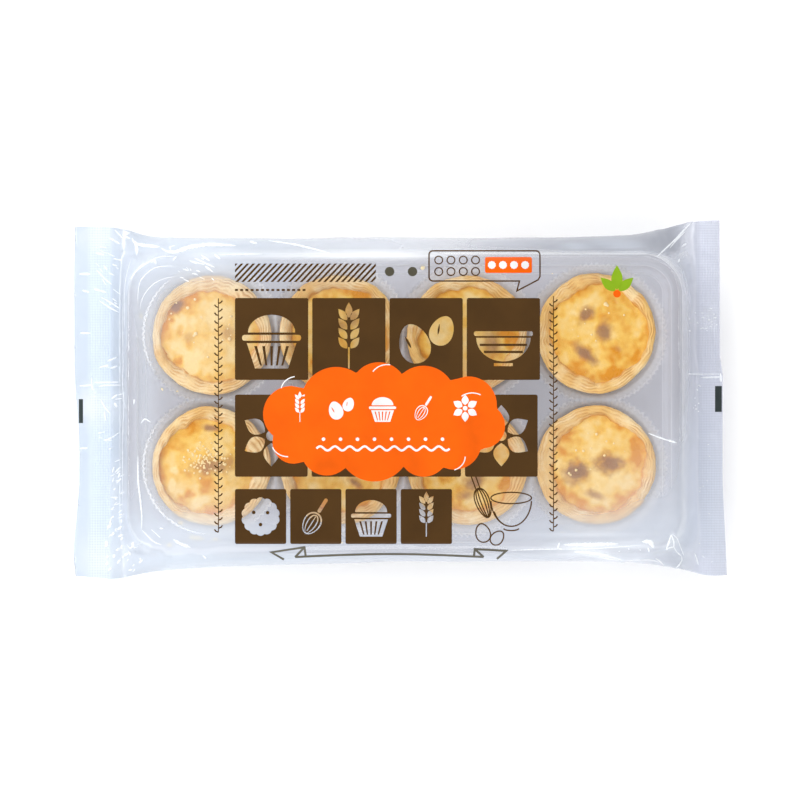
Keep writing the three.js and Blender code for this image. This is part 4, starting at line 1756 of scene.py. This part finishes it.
def make_stage():
    studio = settings().studio
    scene = bpy.context.scene
    scene.view_settings.view_transform = "Standard"
    scene.cycles.transparent_max_bounces = 32
    bm = bmesh.new()
    bmesh.ops.create_grid(bm, x_segments=2, y_segments=2, size=6.0)
    mesh = bpy.data.meshes.new("floor")
    bm.to_mesh(mesh)
    bm.free()
    mesh.materials.append(material_named("studio_floor", floor_material))
    floor = bpy.data.objects.new("floor", mesh)
    scene.collection.objects.link(floor)

    world = bpy.data.worlds.new("studio")
    sky = Finish(world)
    height = sky.axis(sky.node("TexCoord", output="Generated"), "Z")
    light = sky.ramp(height, (0.3, 1.0), (0.6, 0.62), (0.84, 0.55), (0.93, 0.12))
    sky.done(sky.node("Background", None, {"Color": light, "Strength": studio.sky}), "World")
    scene.world = world

    for name, lamp in SOFTBOXES.items():
        add_softbox(name, *lamp)

    lens = bpy.data.cameras.new("camera")
    lens.sensor_width = 36.0
    reach = studio.distance - settings().wrap.seal_height
    lens.lens = lens.sensor_width * reach / studio.frame_width
    camera = bpy.data.objects.new("camera", lens)
    camera.location = (studio.aim_x, 0, studio.distance)
    scene.collection.objects.link(camera)
    scene.camera = camera


# ---------------- operators and panel


class TARTPACK_OT_stage(bpy.types.Operator):
    """Make the floor, the soft studio light and the camera above the pack"""

    bl_idname = "tart_pack.stage"
    bl_label = "Stage"

    def execute(self, context):
        make_stage()
        return {"FINISHED"}


class TARTPACK_OT_tray(bpy.types.Operator):
    """Make the formed tray with its fluted cups"""

    bl_idname = "tart_pack.tray"
    bl_label = "Tray"

    def execute(self, context):
        make_tray()
        return {"FINISHED"}


class TARTPACK_OT_tarts(bpy.types.Operator):
    """Make the tarts, each a leafy pastry case with baked custard"""

    bl_idname = "tart_pack.tarts"
    bl_label = "Tarts"

    def execute(self, context):
        for column in range(len(COLUMNS)):
            for row in range(len(ROWS)):
                make_crust(column, row)
                make_custard(column, row)
        make_bubbles()
        return {"FINISHED"}


class TARTPACK_OT_crumbs(bpy.types.Operator):
    """Scatter loose pastry crumbs on the tray"""

    bl_idname = "tart_pack.crumbs"
    bl_label = "Crumbs"

    def execute(self, context):
        make_crumbs()
        return {"FINISHED"}


class TARTPACK_OT_wrap(bpy.types.Operator):
    """Make the clear film wrap with its crimped ends"""

    bl_idname = "tart_pack.wrap"
    bl_label = "Film Wrap"

    def execute(self, context):
        make_wrap()
        make_fold_highlights()
        return {"FINISHED"}


class TARTPACK_OT_print(bpy.types.Operator):
    """Print the film with blocks, a cloud, a ribbon and small drawings"""

    bl_idname = "tart_pack.print"
    bl_label = "Print"

    def execute(self, context):
        make_print()
        make_marks()
        return {"FINISHED"}


OPERATORS = (
    TARTPACK_OT_stage,
    TARTPACK_OT_tray,
    TARTPACK_OT_tarts,
    TARTPACK_OT_crumbs,
    TARTPACK_OT_wrap,
    TARTPACK_OT_print,
)


class TARTPACK_PT_panel(bpy.types.Panel):
    bl_label = "Tart Pack"
    bl_idname = "TARTPACK_PT_panel"
    bl_space_type = "VIEW_3D"
    bl_region_type = "UI"
    bl_category = "Tart Pack"

    def draw(self, context):
        for operator in OPERATORS:
            self.layout.operator(operator.bl_idname)


CLASSES = (
    WrapSettings,
    TraySettings,
    TartSettings,
    PrintSettings,
    StudioSettings,
    PackSettings,
    *OPERATORS,
    TARTPACK_PT_panel,
)


def register():
    for each in CLASSES:
        bpy.utils.register_class(each)
    bpy.types.Scene.tart_pack = bpy.props.PointerProperty(type=PackSettings)


def unregister():
    del bpy.types.Scene.tart_pack
    for each in reversed(CLASSES):
        bpy.utils.unregister_class(each)


def main():
    register()
    bpy.ops.tart_pack.stage()
    bpy.ops.tart_pack.tray()
    bpy.ops.tart_pack.tarts()
    bpy.ops.tart_pack.crumbs()
    bpy.ops.tart_pack.wrap()
    bpy.ops.tart_pack.print()
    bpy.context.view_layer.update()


if __name__ == "__main__":
    main()
